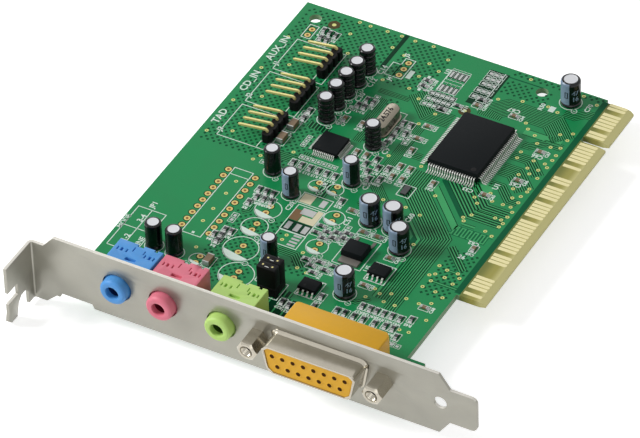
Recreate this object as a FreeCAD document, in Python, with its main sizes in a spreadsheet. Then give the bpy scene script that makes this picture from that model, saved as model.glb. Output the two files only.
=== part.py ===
# A plug-in sound card for a desktop computer: circuit board, steel slot bracket, three audio jacks,
# a game port, edge contacts, chips, pin headers and capacitors.
#
# Layout frame used for every place below, in millimetres:
#   X runs along the bracket, from the seat face of its screw tab (0) towards its tongue,
#   Y runs from the outer face of the bracket (0) to the rear edge of the board,
#   Z runs up from the component side of the board (0).
# The finished part is shifted so that its origin is at the middle of its box, at the bottom.
import FreeCAD, Part
import math
import os
import re

import Sketcher

V = FreeCAD.Vector

# Driving dimensions
SIZES = {
    # Slot bracket, one folded steel sheet
    "bracket_length": 120.02,
    "bracket_width": 18.42,
    "bracket_thick": 0.86,
    "bracket_centre": 5.2,
    "bend_radius": 1.3,
    "tongue_width": 10.19,
    "tongue_share": 0.3258,
    "tongue_round": 1.6,
    "shoulder_share": 0.1331,
    "tongue_hole": 1.7,
    "tongue_hole_share": 0.4429,
    "tongue_hole_rise": 0.3,
    "tab_depth": 11.43,
    "tab_top": 10.9,
    "tab_bottom": 6.75,
    "tab_root": 3.4,
    "tab_slope": 2.9,
    "relief_depth": 1.3,
    "relief_start": 7.8,
    "relief_length": 8.4,
    "relief_slope": 0.6,
    "screw_slot_width": 4.42,
    "screw_slot_inner": 2.6,
    "screw_slot_top": 1.7,
    "finger_drop": 7.8,
    "finger_lean": 0.7,
    "finger_corner": 1.8,
    "slit_top": 3.1,
    "slit_height": 3.4,
    "slit_depth": 4.4,
    # Circuit board and its edge contacts
    "board_thick": 1.6,
    "board_gap": 1.4,
    "left_margin": 9.05,
    "ear_width": 4.8,
    "ear_depth": 13.1,
    "edge_reach": 7.8,
    "edge_inset": 6.5,
    "edge_margin": 1.55,
    "edge_bevel": 1.7,
    "edge_bevel_depth": 0.45,
    "edge_corner": 1.0,
    "rear_margin": 1.0,
    "key_width": 1.9,
    "contact_pitch": 1.27,
    "contact_width": 1.02,
    "contact_length": 4.9,
    "contact_thick": 0.05,
    "contact_first": 41.73,
    "tooling_hole": 1.6,
    "lead_hole": 0.72,
    "lead_stub": 0.8,
    # Audio jacks
    "blue_jack_place": 23.5,
    "jack_width": 11.9,
    "jack_gap_near": 0.75,
    "jack_gap_far": 3.98,
    "jack_seat_gap": 0.2,
    "jack_height": 9.3,
    "jack_depth": 11.3,
    "jack_axis": 5.7,
    "jack_barrel": 3.5,
    "jack_barrel_edge": 0.45,
    "jack_bore": 1.8,
    "jack_bore_depth": 13.6,
    "jack_proud": 2.4,
    "jack_hole_gap": 0.45,
    "jack_tail_width": 0.9,
    "jack_tail_thick": 0.4,
    "jack_tail_inset": 1.5,
    "jack_slit_length": 1.2,
    "jack_slit_depth": 1.0,
    "jack_recess_width": 2.8,
    "jack_recess_length": 0.95,
    "jack_notch": 0.7,
    # Game port
    "port_gap": 1.15,
    "port_axis": 6.0,
    "port_proud": 5.9,
    "port_margin": 7.22,
    "port_height": 7.9,
    "port_slant": 10.0,
    "port_wall": 0.4,
    "port_fit": 0.05,
    "port_face_recess": 0.25,
    "port_corner": 1.9,
    "port_cut_gap": 0.6,
    "flange_width": 39.1,
    "flange_height": 11.9,
    "flange_thick": 0.6,
    "pin_margin": 2.635,
    "pin_row": 2.84,
    "pin_hole": 0.6,
    "pin_size": 0.6,
    "pin_recess": 1.0,
    "shroud_margin": 6.85,
    "shroud_depth": 10.4,
    "shroud_height": 9.7,
    "shroud_wall": 1.1,
    "jackscrew_inset": 2.89,
    "jackscrew_hex": 4.76,
    "jackscrew_shank": 1.5,
    "jackscrew_reach": 2.4,
    "jackscrew_thread": 1.2,
    "jackscrew_thread_depth": 5.0,
    "jackscrew_hole_gap": 0.15,
    # Chips
    "controller_width": 14.0,
    "controller_length": 20.0,
    "controller_height": 2.75,
    "controller_reach": 1.95,
    "controller_pitch": 0.65,
    "codec_width": 7.0,
    "codec_height": 1.6,
    "codec_reach": 1.0,
    "codec_pitch": 0.5,
    "small_chip_width": 4.9,
    "small_chip_length": 3.9,
    "small_chip_height": 1.6,
    "small_chip_reach": 1.05,
    "small_chip_pitch": 1.27,
    "chip_standoff": 0.15,
    "chip_draft": 7.0,
    "lead_thick": 0.16,
    "lead_slim": 0.28,
    "lead_broad": 0.42,
    # Voltage regulator
    "regulator_width": 6.0,
    "regulator_length": 5.0,
    "regulator_height": 2.3,
    "regulator_tab_width": 5.2,
    "regulator_tab_reach": 2.0,
    "regulator_tab_thick": 0.5,
    "regulator_lead_reach": 3.0,
    "regulator_lead_width": 0.8,
    "regulator_lead_spacing": 4.57,
    # Crystal
    "crystal_length": 10.2,
    "crystal_width": 3.7,
    "crystal_height": 3.5,
    "crystal_rim": 0.4,
    "crystal_rim_thick": 0.4,
    "crystal_edge": 0.5,
    # Pin headers and jumpers
    "header_pitch": 2.54,
    "header_width": 2.5,
    "header_height": 2.8,
    "header_notch": 0.35,
    "header_pin": 0.64,
    "header_pin_rise": 0.75,
    "header_pin_reach": 8.3,
    "header_pin_droop": 1.2,
    "header_pin_fit": 0.02,
    "jumper_width": 5.08,
    "jumper_base_height": 2.5,
    "jumper_cap_height": 6.0,
    "jumper_cap_gap": 0.04,
    # Capacitors and chip parts
    "slim_capacitor": 2.1,
    "slim_capacitor_height": 7.7,
    "wide_capacitor": 2.55,
    "wide_capacitor_height": 7.7,
    "chip_part_length": 1.6,
    "chip_part_width": 0.85,
    "chip_part_height": 0.55,
    "ceramic_length": 3.2,
    "ceramic_width": 1.7,
    "ceramic_height": 1.4,
    "network_length": 3.2,
    "network_width": 1.6,
    "network_height": 0.6,
}

# Component places on the board (X, Y), read from the layout
CONTROLLER = (72.3, 88.1)
CODEC = (40.9, 73.8)
SMALL_CHIPS = {"amplifier_chip": (61.3, 26.1), "memory_chip": (73.6, 38.3)}
REGULATOR = (65.2, 42.0)
CRYSTAL = (49.1, 87.3)
HEADERS = {"aux_header": (25.8, 100.7), "cd_header": (25.8, 86.7), "phone_header": (25.8, 72.8)}
JUMPERS = (53.2, 21.8)
TOOLING_HOLES = [(13.5, 115.7), (77.5, 115.9)]
SLIM_CAPACITORS = [
    (35.1, 103.5), (35.2, 98.0), (34.8, 93.2), (34.7, 88.1), (34.8, 82.6), (50.0, 78.8),
    (32.6, 59.4), (40.7, 53.9), (51.8, 64.4), (47.8, 30.5), (20.4, 22.6), (26.1, 22.6),
]
WIDE_CAPACITORS = [(62.7, 53.8), (69.0, 53.9), (73.8, 48.0), (69.6, 28.3), (85.6, 115.6)]

# Chip parts (X, Y), standing along Y or lying along X
UPRIGHT_RESISTORS = [
    (75.6, 26.3), (77.7, 26.3), (83.5, 26.4), (85.7, 26.4), (88.2, 27.4), (70.9, 22.2), (73.0, 22.2),
    (75.4, 22.2), (77.9, 22.2), (81.0, 22.2), (83.7, 22.6), (85.8, 22.6), (33.0, 46.8), (33.0, 31.2),
    (32.9, 35.4), (34.6, 35.4), (33.0, 52.1), (35.0, 52.1), (36.9, 52.1), (53.0, 57.2), (53.3, 74.8),
    (53.3, 69.8), (52.6, 89.8), (54.6, 89.8), (52.6, 84.0), (29.7, 83.4), (29.7, 80.4), (39.4, 90.9),
    (41.1, 90.9), (57.8, 19.0), (59.8, 18.6), (35.5, 64.6), (37.8, 64.6), (40.2, 64.6), (42.5, 64.6),
    (44.8, 64.6), (47.1, 64.6), (65.3, 24.8),
]
LEVEL_RESISTORS = [
    (57.6, 33.2), (61.4, 33.2), (53.0, 46.9), (53.0, 44.3), (57.6, 46.5), (57.6, 44.3), (58.4, 98.8),
]
UPRIGHT_CAPACITORS = [
    (59.2, 81.6), (59.5, 75.1), (62.2, 75.1), (59.5, 70.9), (62.2, 70.9), (69.7, 73.0), (89.6, 56.4),
    (38.9, 84.8), (43.7, 84.9), (47.5, 75.0), (50.2, 75.0),
]
LEVEL_CAPACITORS = [
    (58.4, 86.2), (58.5, 91.4), (75.6, 104.5), (87.5, 95.3), (87.5, 83.4), (82.8, 75.0), (65.6, 104.0),
    (57.0, 55.3), (63.0, 49.6), (67.0, 49.6), (73.2, 44.2), (72.3, 32.9), (88.9, 32.4),
]
CERAMICS = [(28.8, 76.5), (28.8, 70.9), (35.0, 23.4)]
NETWORKS = [(65.0, 67.6)]

# Numbered places of the contacts along the edge connector, component side
TOP_CONTACTS = (
    [1, 3, 4, 5, 6, 11, 12, 13] + list(range(15, 25)) + list(range(26, 31)) + list(range(32, 36))
    + [37, 38, 42] + list(range(44, 50)) + [52, 53] + list(range(55, 60)) + [61, 62]
)
KEY_PLACE = 50.5
LAST_CONTACT = 62

# Contacts in the two rows of the game port
UPPER_PINS, LOWER_PINS = 8, 7

doc = FreeCAD.newDocument("sound_card")
sheet = doc.addObject("Spreadsheet::Sheet", "Sizes")
for row, (alias, value) in enumerate(SIZES.items(), start=1):
    sheet.set(f"A{row}", alias)
    sheet.set(f"B{row}", str(value))
    sheet.setAlias(f"B{row}", alias)
doc.recompute()

ALIAS = re.compile(r"\b(" + "|".join(SIZES) + r")\b")


def bound(text):
    """The expression with each alias written as a cell of the sheet."""
    return ALIAS.sub(r"Sizes.\1", str(text))


def num(text):
    """The present value of an expression in the sheet's aliases."""
    value = sheet.evalExpression(bound(text))
    return float(getattr(value, "Value", value))


def tie(target, prop, text):
    target.setExpression(prop, bound(text))


# Places that several pieces share, as expressions in the sheet's aliases
MIDDLE_X = "(bracket_length - bracket_thick - finger_lean) / 2"
BOARD_NEAR = "bracket_thick + board_gap"
PINK_X = "(blue_jack_place + jack_width + jack_gap_near)"
GREEN_X = "(blue_jack_place + 2 * jack_width + jack_gap_near + jack_gap_far)"
PORT_X = f"({GREEN_X} + jack_width / 2 + port_gap + flange_width / 2)"
JACKS = {"blue_jack": "blue_jack_place", "pink_jack": PINK_X, "green_jack": GREEN_X}
BOARD_LEFT = "(blue_jack_place - jack_width / 2 - left_margin)"
TAB_NEAR = "(contact_first - edge_margin)"
TAB_FAR = f"(contact_first + {LAST_CONTACT - 1} * contact_pitch + edge_margin / 4)"
BOARD_REAR = f"({TAB_FAR} + rear_margin)"
EAR_RIGHT = f"({PORT_X} + flange_width / 2)"
BOARD_RIGHT = f"({EAR_RIGHT} - ear_width)"
TAB_RIGHT = f"({BOARD_RIGHT} + edge_reach)"
KEY_Y = f"(contact_first + {KEY_PLACE - 1} * contact_pitch)"
MIDDLE_Y = f"({BOARD_REAR} - tab_depth) / 2"
FLANGE_BACK = "(bracket_thick + flange_thick)"
STUB_BOTTOM = "(board_thick + lead_stub)"
SCREW_HOLE = "jackscrew_shank + jackscrew_hole_gap"
SCREW_REACH = "(flange_width / 2 - jackscrew_inset)"
PORT_WIDTH = "(flange_width - 2 * port_margin)"
SHROUD_WIDTH = "(flange_width - 2 * shroud_margin)"
PIN_PITCH = f"(({PORT_WIDTH} - 2 * pin_margin) / {UPPER_PINS - 1})"

# How far a cutting tool starts and ends outside the solid it cuts
CLEAR = 1.0

subparts = []


def place(part, x="0", y="0", z="0"):
    """Sets a sub-part at a place in the layout frame, moved to the part's own origin."""
    tie(part, "Placement.Base.x", f"{x} - {MIDDLE_X}")
    tie(part, "Placement.Base.y", f"{y} - {MIDDLE_Y}")
    tie(part, "Placement.Base.z", f"{z} + finger_drop")
    subparts.append(part)
    return part


def new_body(label):
    body = doc.addObject("PartDesign::Body", label)
    body.Label = label
    return body


def sketch_on(body, role, offset="0"):
    """A sketch on one of the body's own origin planes, moved along that plane's normal."""
    sketch = body.newObject("Sketcher::SketchObject", f"{body.Label}_profile")
    plane = next(item for item in body.Origin.OriginFeatures if item.Role == role)
    sketch.AttachmentSupport = [(plane, "")]
    sketch.MapMode = "FlatFace"
    tie(sketch, "AttachmentOffset.Base.z", offset)
    return sketch


def hold(sketch, rows):
    """Adds constraints in one go; a row is a constraint and the expression that drives it, if any."""
    numbers = sketch.addConstraint([constraint for constraint, text in rows])
    for number, (constraint, text) in zip(numbers, rows):
        if text is not None:
            tie(sketch, f"Constraints[{number}]", text)


def from_origin(geometry, end, x, y):
    """Two distances that fix a point of a sketch from the sketch's origin."""
    pair = (("DistanceX", x), ("DistanceY", y))
    return [(Sketcher.Constraint(kind, -1, 1, geometry, end, num(text)), text) for kind, text in pair]


def outline(sketch, corners):
    """A closed polygon whose corners are bound to expressions."""
    points = [V(num(x), num(y), 0) for x, y in corners]
    first = sketch.GeometryCount
    sketch.addGeometry([Part.LineSegment(a, b) for a, b in zip(points, points[1:] + points[:1])])
    rows = []
    for k, (x, y) in enumerate(corners):
        before = first + (k - 1) % len(corners)
        rows.append((Sketcher.Constraint("Coincident", before, 2, first + k, 1), None))
        rows += from_origin(first + k, 1, x, y)
    hold(sketch, rows)


def rectangle(sketch, x0, y0, x1, y1):
    outline(sketch, [(x0, y0), (x1, y0), (x1, y1), (x0, y1)])


def facets(sketch, x, y, radius, sides):
    """A round outline drawn with few sides, for what repeats or is hidden."""
    turns = [2 * math.pi * k / sides for k in range(sides)]
    corners = [(round(math.cos(a), 6), round(math.sin(a), 6)) for a in turns]
    outline(sketch, [(f"{x} + {c} * ({radius})", f"{y} + {s} * ({radius})") for c, s in corners])


def circle(sketch, x, y, radius):
    ring = sketch.addGeometry(Part.Circle(V(num(x), num(y), 0), V(0, 0, 1), num(radius)))
    size = (Sketcher.Constraint("Radius", ring, num(radius)), radius)
    hold(sketch, from_origin(ring, 3, x, y) + [size])


def pad(body, sketch, length, reverse=False, taper="0"):
    feature = body.newObject("PartDesign::Pad", f"{body.Label}_pad")
    feature.Profile = sketch
    tie(feature, "Length", length)
    tie(feature, "TaperAngle", taper)
    feature.Reversed = reverse
    return feature


def pocket(body, sketch, length=None, reverse=False, midplane=False):
    """A cut of the given depth, or right through when no depth is given."""
    feature = body.newObject("PartDesign::Pocket", f"{body.Label}_pocket")
    feature.Profile = sketch
    if length is None:
        feature.Type = "ThroughAll"
    else:
        tie(feature, "Length", length)
    feature.Midplane = midplane
    feature.Reversed = reverse
    return feature


def soften(body, kind, choose, amount):
    """A fillet or chamfer on the edges of the body's present shape that the test picks."""
    doc.recompute()
    base = body.Tip
    names = [f"Edge{k}" for k, edge in enumerate(base.Shape.Edges, start=1) if choose(edge)]
    feature = body.newObject(f"PartDesign::{kind}", f"{body.Label}_{kind.lower()}")
    feature.Base = (base, names)
    tie(feature, "Radius" if kind == "Fillet" else "Size", amount)
    return feature


def near(a, b):
    return abs(a - b) < 1e-4


def group(label, solids, x="0", y="0", z="0"):
    """A sub-part made of separate like solids, drawn in the layout frame."""
    part = doc.addObject("Part::Feature", label)
    part.Label = label
    part.Shape = Part.makeCompound(solids)
    return place(part, x, y, z)


def block(x0, y0, z0, x1, y1, z1):
    return Part.makeBox(x1 - x0, y1 - y0, z1 - z0, V(x0, y0, z0))


def prism(points, along):
    """A solid drawn by moving a closed outline along a vector."""
    return Part.Face(Part.makePolygon(points + points[:1])).extrude(along)


def drilled(label, body, centres, radius, along, sides):
    """The body with a row of holes; these have few sides because there are dozens of them."""
    reach = num(radius)
    across = V(along.y, along.z, along.x)
    across, up = across.normalize(), along.cross(across).normalize()
    turns = [math.pi * (2 * k + 1) / sides for k in range(sides)]
    ring = [across * (reach * math.cos(a)) + up * (reach * math.sin(a)) for a in turns]
    drills = doc.addObject("Part::Feature", f"{label}_drills")
    drills.Shape = Part.makeCompound([prism([spot + point for point in ring], along) for spot in centres])
    cut = doc.addObject("Part::Cut", label)
    cut.Label = label
    cut.Base, cut.Tool = body, drills
    return place(cut)


def port_outline(sketch, inset):
    """The D-shaped outline of the game port: the upper row is the longer one."""
    half = f"({PORT_WIDTH} / 2 - {inset})"
    tall = f"(port_height / 2 - {inset})"
    lean = "port_height * tan(port_slant) / 2"
    cut = "port_corner * 0.6"
    low = f"({half} - 2 * {lean})"
    corners = [
        (f"{low} - {cut}", f"-{tall}"), (f"{low} + {cut} / 4", f"-{tall} + {cut}"),
        (f"{half} + {cut} / 8", f"{tall} - {cut}"), (f"{half} - {cut}", tall),
    ]
    mirrored = [(f"-({x})", y) for x, y in reversed(corners)]
    outline(sketch, [(f"{PORT_X} + {x}", f"port_axis + {y}") for x, y in corners + mirrored])


# Slot bracket
def make_bracket():
    body = new_body("mounting_bracket")
    top = "(bracket_centre + bracket_width / 2)"
    bottom = "(bracket_centre - bracket_width / 2)"
    # Past the game port the plate narrows to a tongue; its steps share out the length that is left there
    end_run = f"(bracket_length - {EAR_RIGHT})"
    tongue_root = f"(bracket_length - tongue_share * {end_run})"
    shoulder = f"({tongue_root} - shoulder_share * {end_run})"
    plate = sketch_on(body, "XZ_Plane")
    outline(plate, [
        ("-bracket_thick", "-tab_bottom"), ("tab_root", "-tab_bottom"),
        ("tab_root + tab_slope", bottom), ("relief_start - relief_slope", bottom),
        ("relief_start", f"{bottom} + relief_depth"),
        ("relief_start + relief_length", f"{bottom} + relief_depth"),
        ("relief_start + relief_length + relief_slope", bottom), (shoulder, bottom),
        (tongue_root, "bracket_centre - tongue_width / 2"),
        ("bracket_length", "bracket_centre - tongue_width / 2"),
        ("bracket_length", "bracket_centre + tongue_width / 2"),
        (tongue_root, "bracket_centre + tongue_width / 2"), (shoulder, top),
        ("tab_root + tab_slope", top), ("tab_root", "tab_top"), ("-bracket_thick", "tab_top"),
    ])
    pad(body, plate, "bracket_thick", reverse=True)
    tab = sketch_on(body, "YZ_Plane")
    slot_inner = "-screw_slot_inner"
    slot_outer = "(-screw_slot_inner - screw_slot_width)"
    slot_shoulder = "(screw_slot_top + screw_slot_width * 0.3)"
    outline(tab, [
        ("0", "-tab_bottom"), ("0", "tab_top"), ("-tab_depth", "tab_top"),
        ("-tab_depth", "slit_top"), ("-tab_depth + slit_depth", "slit_top"),
        ("-tab_depth + slit_depth", "slit_top - slit_height"), ("-tab_depth", "slit_top - slit_height"),
        ("-tab_depth", f"-{slot_shoulder}"), (slot_outer, f"-{slot_shoulder}"),
        (f"{slot_outer} + screw_slot_width * 0.3", "-screw_slot_top"),
        (f"{slot_inner} - screw_slot_width * 0.3", "-screw_slot_top"),
        (slot_inner, f"-{slot_shoulder}"), (slot_inner, "-tab_bottom"),
    ])
    pad(body, tab, "bracket_thick", reverse=True)
    # The outer finger leans away from the card below the slot's shoulder
    finger = sketch_on(body, "XZ_Plane", "tab_depth")
    outline(finger, [
        ("-bracket_thick", f"-{slot_shoulder}"), ("0", f"-{slot_shoulder}"),
        ("-finger_lean", "-finger_drop"), ("-bracket_thick - finger_lean", "-finger_drop"),
    ])
    pad(body, finger, "tab_depth - screw_slot_inner - screw_slot_width", reverse=True)
    corner = sketch_on(body, "YZ_Plane")
    outline(corner, [
        ("-tab_depth", "-finger_drop"), ("-tab_depth + finger_corner", "-finger_drop"),
        ("-tab_depth", "-finger_drop + finger_corner"),
    ])
    pocket(body, corner, midplane=True)
    holes = sketch_on(body, "XZ_Plane")
    for x in JACKS.values():
        facets(holes, x, "jack_axis", "jack_barrel + jack_hole_gap", 20)
    for side in ("-", "+"):
        facets(holes, f"{PORT_X} {side} {SCREW_REACH}", "port_axis", SCREW_HOLE, 8)
    hole_x = f"bracket_length - tongue_hole_share * {end_run}"
    circle(holes, hole_x, "bracket_centre + tongue_hole_rise", "tongue_hole")
    port_outline(holes, "(-port_cut_gap)")
    pocket(body, holes, midplane=True)
    upright = lambda edge: len(edge.Vertexes) == 2 and near(abs(edge.tangentAt(edge.FirstParameter).z), 1)
    at = lambda edge, x, y: upright(edge) and near(edge.CenterOfMass.x, x) and near(edge.CenterOfMass.y, y)
    thick = num("bracket_thick")
    soften(body, "Fillet", lambda edge: at(edge, -thick, thick), "bend_radius")
    soften(body, "Fillet", lambda edge: at(edge, 0, 0), "bend_radius - bracket_thick")
    tip = num("bracket_length")
    across = lambda edge: near(edge.CenterOfMass.x, tip) and near(edge.Length, thick)
    soften(body, "Fillet", across, "tongue_round")
    place(body)


# Circuit board with its edge tab, key slot, tooling holes and lead holes
def make_board():
    body = new_body("board_blank")
    shape = sketch_on(body, "XY_Plane")
    outline(shape, [
        (BOARD_LEFT, BOARD_NEAR), (EAR_RIGHT, BOARD_NEAR), (EAR_RIGHT, f"{BOARD_NEAR} + ear_depth"),
        (BOARD_RIGHT, f"{BOARD_NEAR} + ear_depth"), (BOARD_RIGHT, TAB_NEAR), (TAB_RIGHT, TAB_NEAR),
        (TAB_RIGHT, f"{TAB_FAR} - edge_corner / 2"), (f"{TAB_RIGHT} - edge_corner", TAB_FAR),
        (BOARD_RIGHT, TAB_FAR), (BOARD_RIGHT, BOARD_REAR), (BOARD_LEFT, BOARD_REAR),
    ])
    pad(body, shape, "board_thick", reverse=True)
    key_end = f"({TAB_RIGHT} - edge_inset)"
    key = sketch_on(body, "XY_Plane")
    key_near, key_far = f"{KEY_Y} - key_width / 2", f"{KEY_Y} + key_width / 2"
    rectangle(key, key_end, key_near, f"{TAB_RIGHT} + key_width", key_far)
    pocket(body, key)
    rounds = sketch_on(body, "XY_Plane")
    circle(rounds, key_end, KEY_Y, "key_width / 2")
    for x, y in TOOLING_HOLES:
        circle(rounds, str(x), str(y), "tooling_hole")
    pocket(body, rounds)
    # Both sides of the contact edge are bevelled so that it finds its socket
    bevel = sketch_on(body, "XZ_Plane")
    start = f"({TAB_RIGHT} - edge_bevel)"
    for level, inward in (("0", "-"), ("-board_thick", "+")):
        outline(bevel, [
            (start, level), (TAB_RIGHT, f"{level} {inward} edge_bevel_depth"), (TAB_RIGHT, level),
        ])
    pocket(body, bevel, midplane=True)
    through = V(0, 0, -num("board_thick") - 2 * CLEAR)
    centres = [V(num(x), num(y), CLEAR) for x, y in lead_places()]
    drilled("circuit_board", body, centres, "lead_hole", through, 4)


def header_pin_places(centre):
    """The four pins of a header, along Y."""
    x, y = centre
    return [(str(x), f"{y} + {k - 1.5} * header_pitch") for k in range(4)]


def jumper_pin_places():
    x, y = JUMPERS
    pairs = [(i, k) for i in (-0.5, 0.5) for k in (-0.5, 0.5)]
    return [(f"{x} + {i} * header_pitch", f"{y} + {k} * header_pitch") for i, k in pairs]


def jack_tail_places(x):
    """Five contact tails under a jack: a pair on each side and one at the rear."""
    side = "(jack_width / 2 - jack_tail_inset)"
    front = f"({JACK_FRONT} + jack_depth * 0.35)"
    back = f"({JACK_FRONT} + jack_depth * 0.75)"
    rear = f"({JACK_FRONT} + jack_depth * 0.9)"
    pairs = [(f"{x} {sign} {side}", y) for sign in ("-", "+") for y in (front, back)]
    return pairs + [(x, rear)]


def port_pin_places():
    """Tails of the game port's contacts: each row's X, height, and where it turns down into the board."""
    places = []
    for count, height, turn in ((UPPER_PINS, "+", UPPER_TURN), (LOWER_PINS, "-", LOWER_TURN)):
        for k in range(count):
            x = f"{PORT_X} + {k - (count - 1) / 2} * {PIN_PITCH}"
            places.append((x, f"port_axis {height} pin_row / 2", turn))
    return places


def lead_places():
    places = []
    for centre in HEADERS.values():
        places += header_pin_places(centre)
    places += jumper_pin_places()
    for x in JACKS.values():
        places += jack_tail_places(x)
    places += [(x, turn) for x, z, turn in port_pin_places()]
    return places


JACK_FRONT = "(bracket_thick + jack_seat_gap)"
LOWER_TURN = f"({FLANGE_BACK} + shroud_depth - shroud_wall - pin_row - 2 * pin_size)"
UPPER_TURN = f"({FLANGE_BACK} + shroud_depth - shroud_wall - 2 * pin_size)"


def make_contacts():
    right = num(TAB_RIGHT) - num("edge_bevel")
    length, half = num("contact_length"), num("contact_width") / 2
    thick = num("contact_thick")
    solids = []
    for number in TOP_CONTACTS:
        y = num("contact_first") + (number - 1) * num("contact_pitch")
        solids.append(block(right - length, y - half, 0, right, y + half, thick))
    group("edge_contacts", solids)


# Slits across the top of a jack, from and to, as shares of its width from the middle
JACK_SLITS = [
    (-0.423, -0.397), (-0.34, -0.29), (-0.215, -0.185), (0.2, 0.23), (0.3, 0.35), (0.402, 0.428),
]


# Audio jacks
def make_jack(label, x):
    body = new_body(f"{label}_housing")
    half = "jack_width / 2"
    rear = f"({JACK_FRONT} + jack_depth)"
    base = sketch_on(body, "XY_Plane")
    notch, step = "(jack_width * 0.07)", f"{rear} - jack_notch"
    outline(base, [
        (f"-{half}", JACK_FRONT), (half, JACK_FRONT), (half, rear), (notch, rear),
        (notch, step), (f"-{notch}", step), (f"-{notch}", rear), (f"-{half}", rear),
    ])
    pad(body, base, "jack_height")
    barrel = sketch_on(body, "XZ_Plane", "jack_proud")
    facets(barrel, "0", "jack_axis", "jack_barrel", 20)
    pad(body, barrel, f"jack_proud + {JACK_FRONT}", reverse=True)
    bore = sketch_on(body, "XZ_Plane", "jack_proud")
    circle(bore, "0", "jack_axis", "jack_bore")
    pocket(body, bore, "jack_bore_depth", reverse=False)
    # Moulding slits, three on each side of the top, and a recess near the front
    slits = sketch_on(body, "XY_Plane", "jack_height")
    middle = f"({rear} - jack_depth * 0.28)"
    for start, end in JACK_SLITS:
        rectangle(
            slits, f"{start} * jack_width", f"{middle} - jack_slit_length / 2",
            f"{end} * jack_width", f"{middle} + jack_slit_length / 2",
        )
    front = f"({rear} - jack_depth * 0.46)"
    recess = "jack_recess_width / 2"
    rectangle(slits, f"-{recess}", f"{front} - jack_recess_length", recess, front)
    pocket(body, slits, "jack_slit_depth")
    face = -num("jack_proud")
    rim = lambda edge: near(edge.CenterOfMass.y, face) and edge.Curve.TypeId == "Part::GeomLine"
    soften(body, "Chamfer", rim, "jack_barrel_edge")
    place(body, x)
    wide, thin = num("jack_tail_width") / 2, num("jack_tail_thick") / 2
    tails = [(num(px), num(py)) for px, py in jack_tail_places(x)]
    bottom = -num(STUB_BOTTOM)
    solids = [block(px - thin, py - wide, bottom, px + thin, py + wide, 0) for px, py in tails]
    group(f"{label}_terminals", solids)


# Game port
def make_port():
    shell = new_body("game_port_shell")
    flange = sketch_on(shell, "XZ_Plane", "-bracket_thick")
    rectangle(
        flange, f"{PORT_X} - flange_width / 2", "port_axis - flange_height / 2",
        f"{PORT_X} + flange_width / 2", "port_axis + flange_height / 2",
    )
    pad(shell, flange, "flange_thick", reverse=True)
    tube = sketch_on(shell, "XZ_Plane", "port_proud")
    port_outline(tube, "0")
    pad(shell, tube, "port_proud + bracket_thick", reverse=True)
    hollow = sketch_on(shell, "XZ_Plane", "port_proud")
    port_outline(hollow, "port_wall")
    pocket(shell, hollow)
    screws = sketch_on(shell, "XZ_Plane")
    for side in ("-", "+"):
        facets(screws, f"{PORT_X} {side} {SCREW_REACH}", "port_axis", SCREW_HOLE, 8)
    pocket(shell, screws, midplane=True)
    place(shell)

    insulator = new_body("insulator_blank")
    face = sketch_on(insulator, "XZ_Plane", "port_proud - port_face_recess")
    port_outline(face, "(port_wall + port_fit)")
    pad(insulator, face, f"port_proud - port_face_recess + {FLANGE_BACK}", reverse=True)
    through = V(0, num(f"port_proud + {FLANGE_BACK}") + 2 * CLEAR, 0)
    centres = [V(num(x), -num("port_proud") - CLEAR, num(z)) for x, z, turn in port_pin_places()]
    drilled("game_port_insulator", insulator, centres, "pin_hole", through, 4)

    shroud = new_body("game_port_shroud")
    top = sketch_on(shroud, "XY_Plane")
    left, right = f"{PORT_X} - {SHROUD_WIDTH} / 2", f"{PORT_X} + {SHROUD_WIDTH} / 2"
    back = f"{FLANGE_BACK} + shroud_depth"
    outline(top, [
        (left, FLANGE_BACK), (right, FLANGE_BACK), (right, f"{back} - shroud_wall"),
        (f"{right} - shroud_wall", back), (f"{left} + shroud_wall / 2", back),
        (left, f"{back} - shroud_wall / 2"),
    ])
    pad(shroud, top, "shroud_height")
    inside = sketch_on(shroud, "XY_Plane")
    rectangle(
        inside, f"{left} + shroud_wall", f"{FLANGE_BACK} - {CLEAR}",
        f"{right} - shroud_wall", f"{back} - shroud_wall",
    )
    pocket(shroud, inside, "shroud_height - shroud_wall", reverse=True)
    place(shroud)

    half, bottom = num("pin_size") / 2, -num(STUB_BOTTOM)
    tip = num("port_face_recess + pin_recess - port_proud")
    pins = []
    for x, z, turn in port_pin_places():
        px, pz, py = num(x), num(z), num(turn)
        bent = [
            V(px - half, tip, pz - half), V(px - half, py - half, pz - half), V(px - half, py - half, bottom),
            V(px - half, py + half, bottom), V(px - half, py + half, pz + half), V(px - half, tip, pz + half),
        ]
        pins.append(prism(bent, V(2 * half, 0, 0)))
    group("game_port_contacts", pins)
    make_jackscrews()


def make_jackscrews():
    """Two hexagonal standoffs that clamp the bracket to the port's flange."""
    corner, shank = num("jackscrew_hex") / math.sqrt(3), num("jackscrew_shank")
    proud, thread = num("port_proud"), num("jackscrew_thread")
    reach = num(FLANGE_BACK) + num("jackscrew_reach")
    axis = V(0, 1, 0)
    solids = []
    for side in (-1, 1):
        x, z = num(PORT_X) + side * num(SCREW_REACH), num("port_axis")
        turns = [math.radians(60 * k) for k in range(6)]
        hexagon = [V(x + corner * math.cos(a), -proud, z + corner * math.sin(a)) for a in turns]
        head = prism(hexagon, axis * proud)
        eighths = [math.radians(45 * k) for k in range(8)]
        stem = prism([V(x + shank * math.cos(a), 0, z + shank * math.sin(a)) for a in eighths], axis * reach)
        hole = Part.makeCylinder(thread, num("jackscrew_thread_depth"), V(x, -proud, z), axis)
        solids.append(head.fuse(stem).cut(hole))
    group("game_port_jackscrews", solids)


# Chips
def make_chip_body(label, centre, width, length, height):
    """A moulded body in two halves that taper away from the line where the leads come out."""
    body = new_body(label)
    middle = f"((chip_standoff + {height}) / 2)"
    for reverse in (False, True):
        ring = sketch_on(body, "XY_Plane", middle)
        rectangle(ring, f"-{width} / 2", f"-{length} / 2", f"{width} / 2", f"{length} / 2")
        pad(body, ring, f"({height} - chip_standoff) / 2", reverse=reverse, taper="-chip_draft")
    place(body, str(centre[0]), str(centre[1]))


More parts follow.
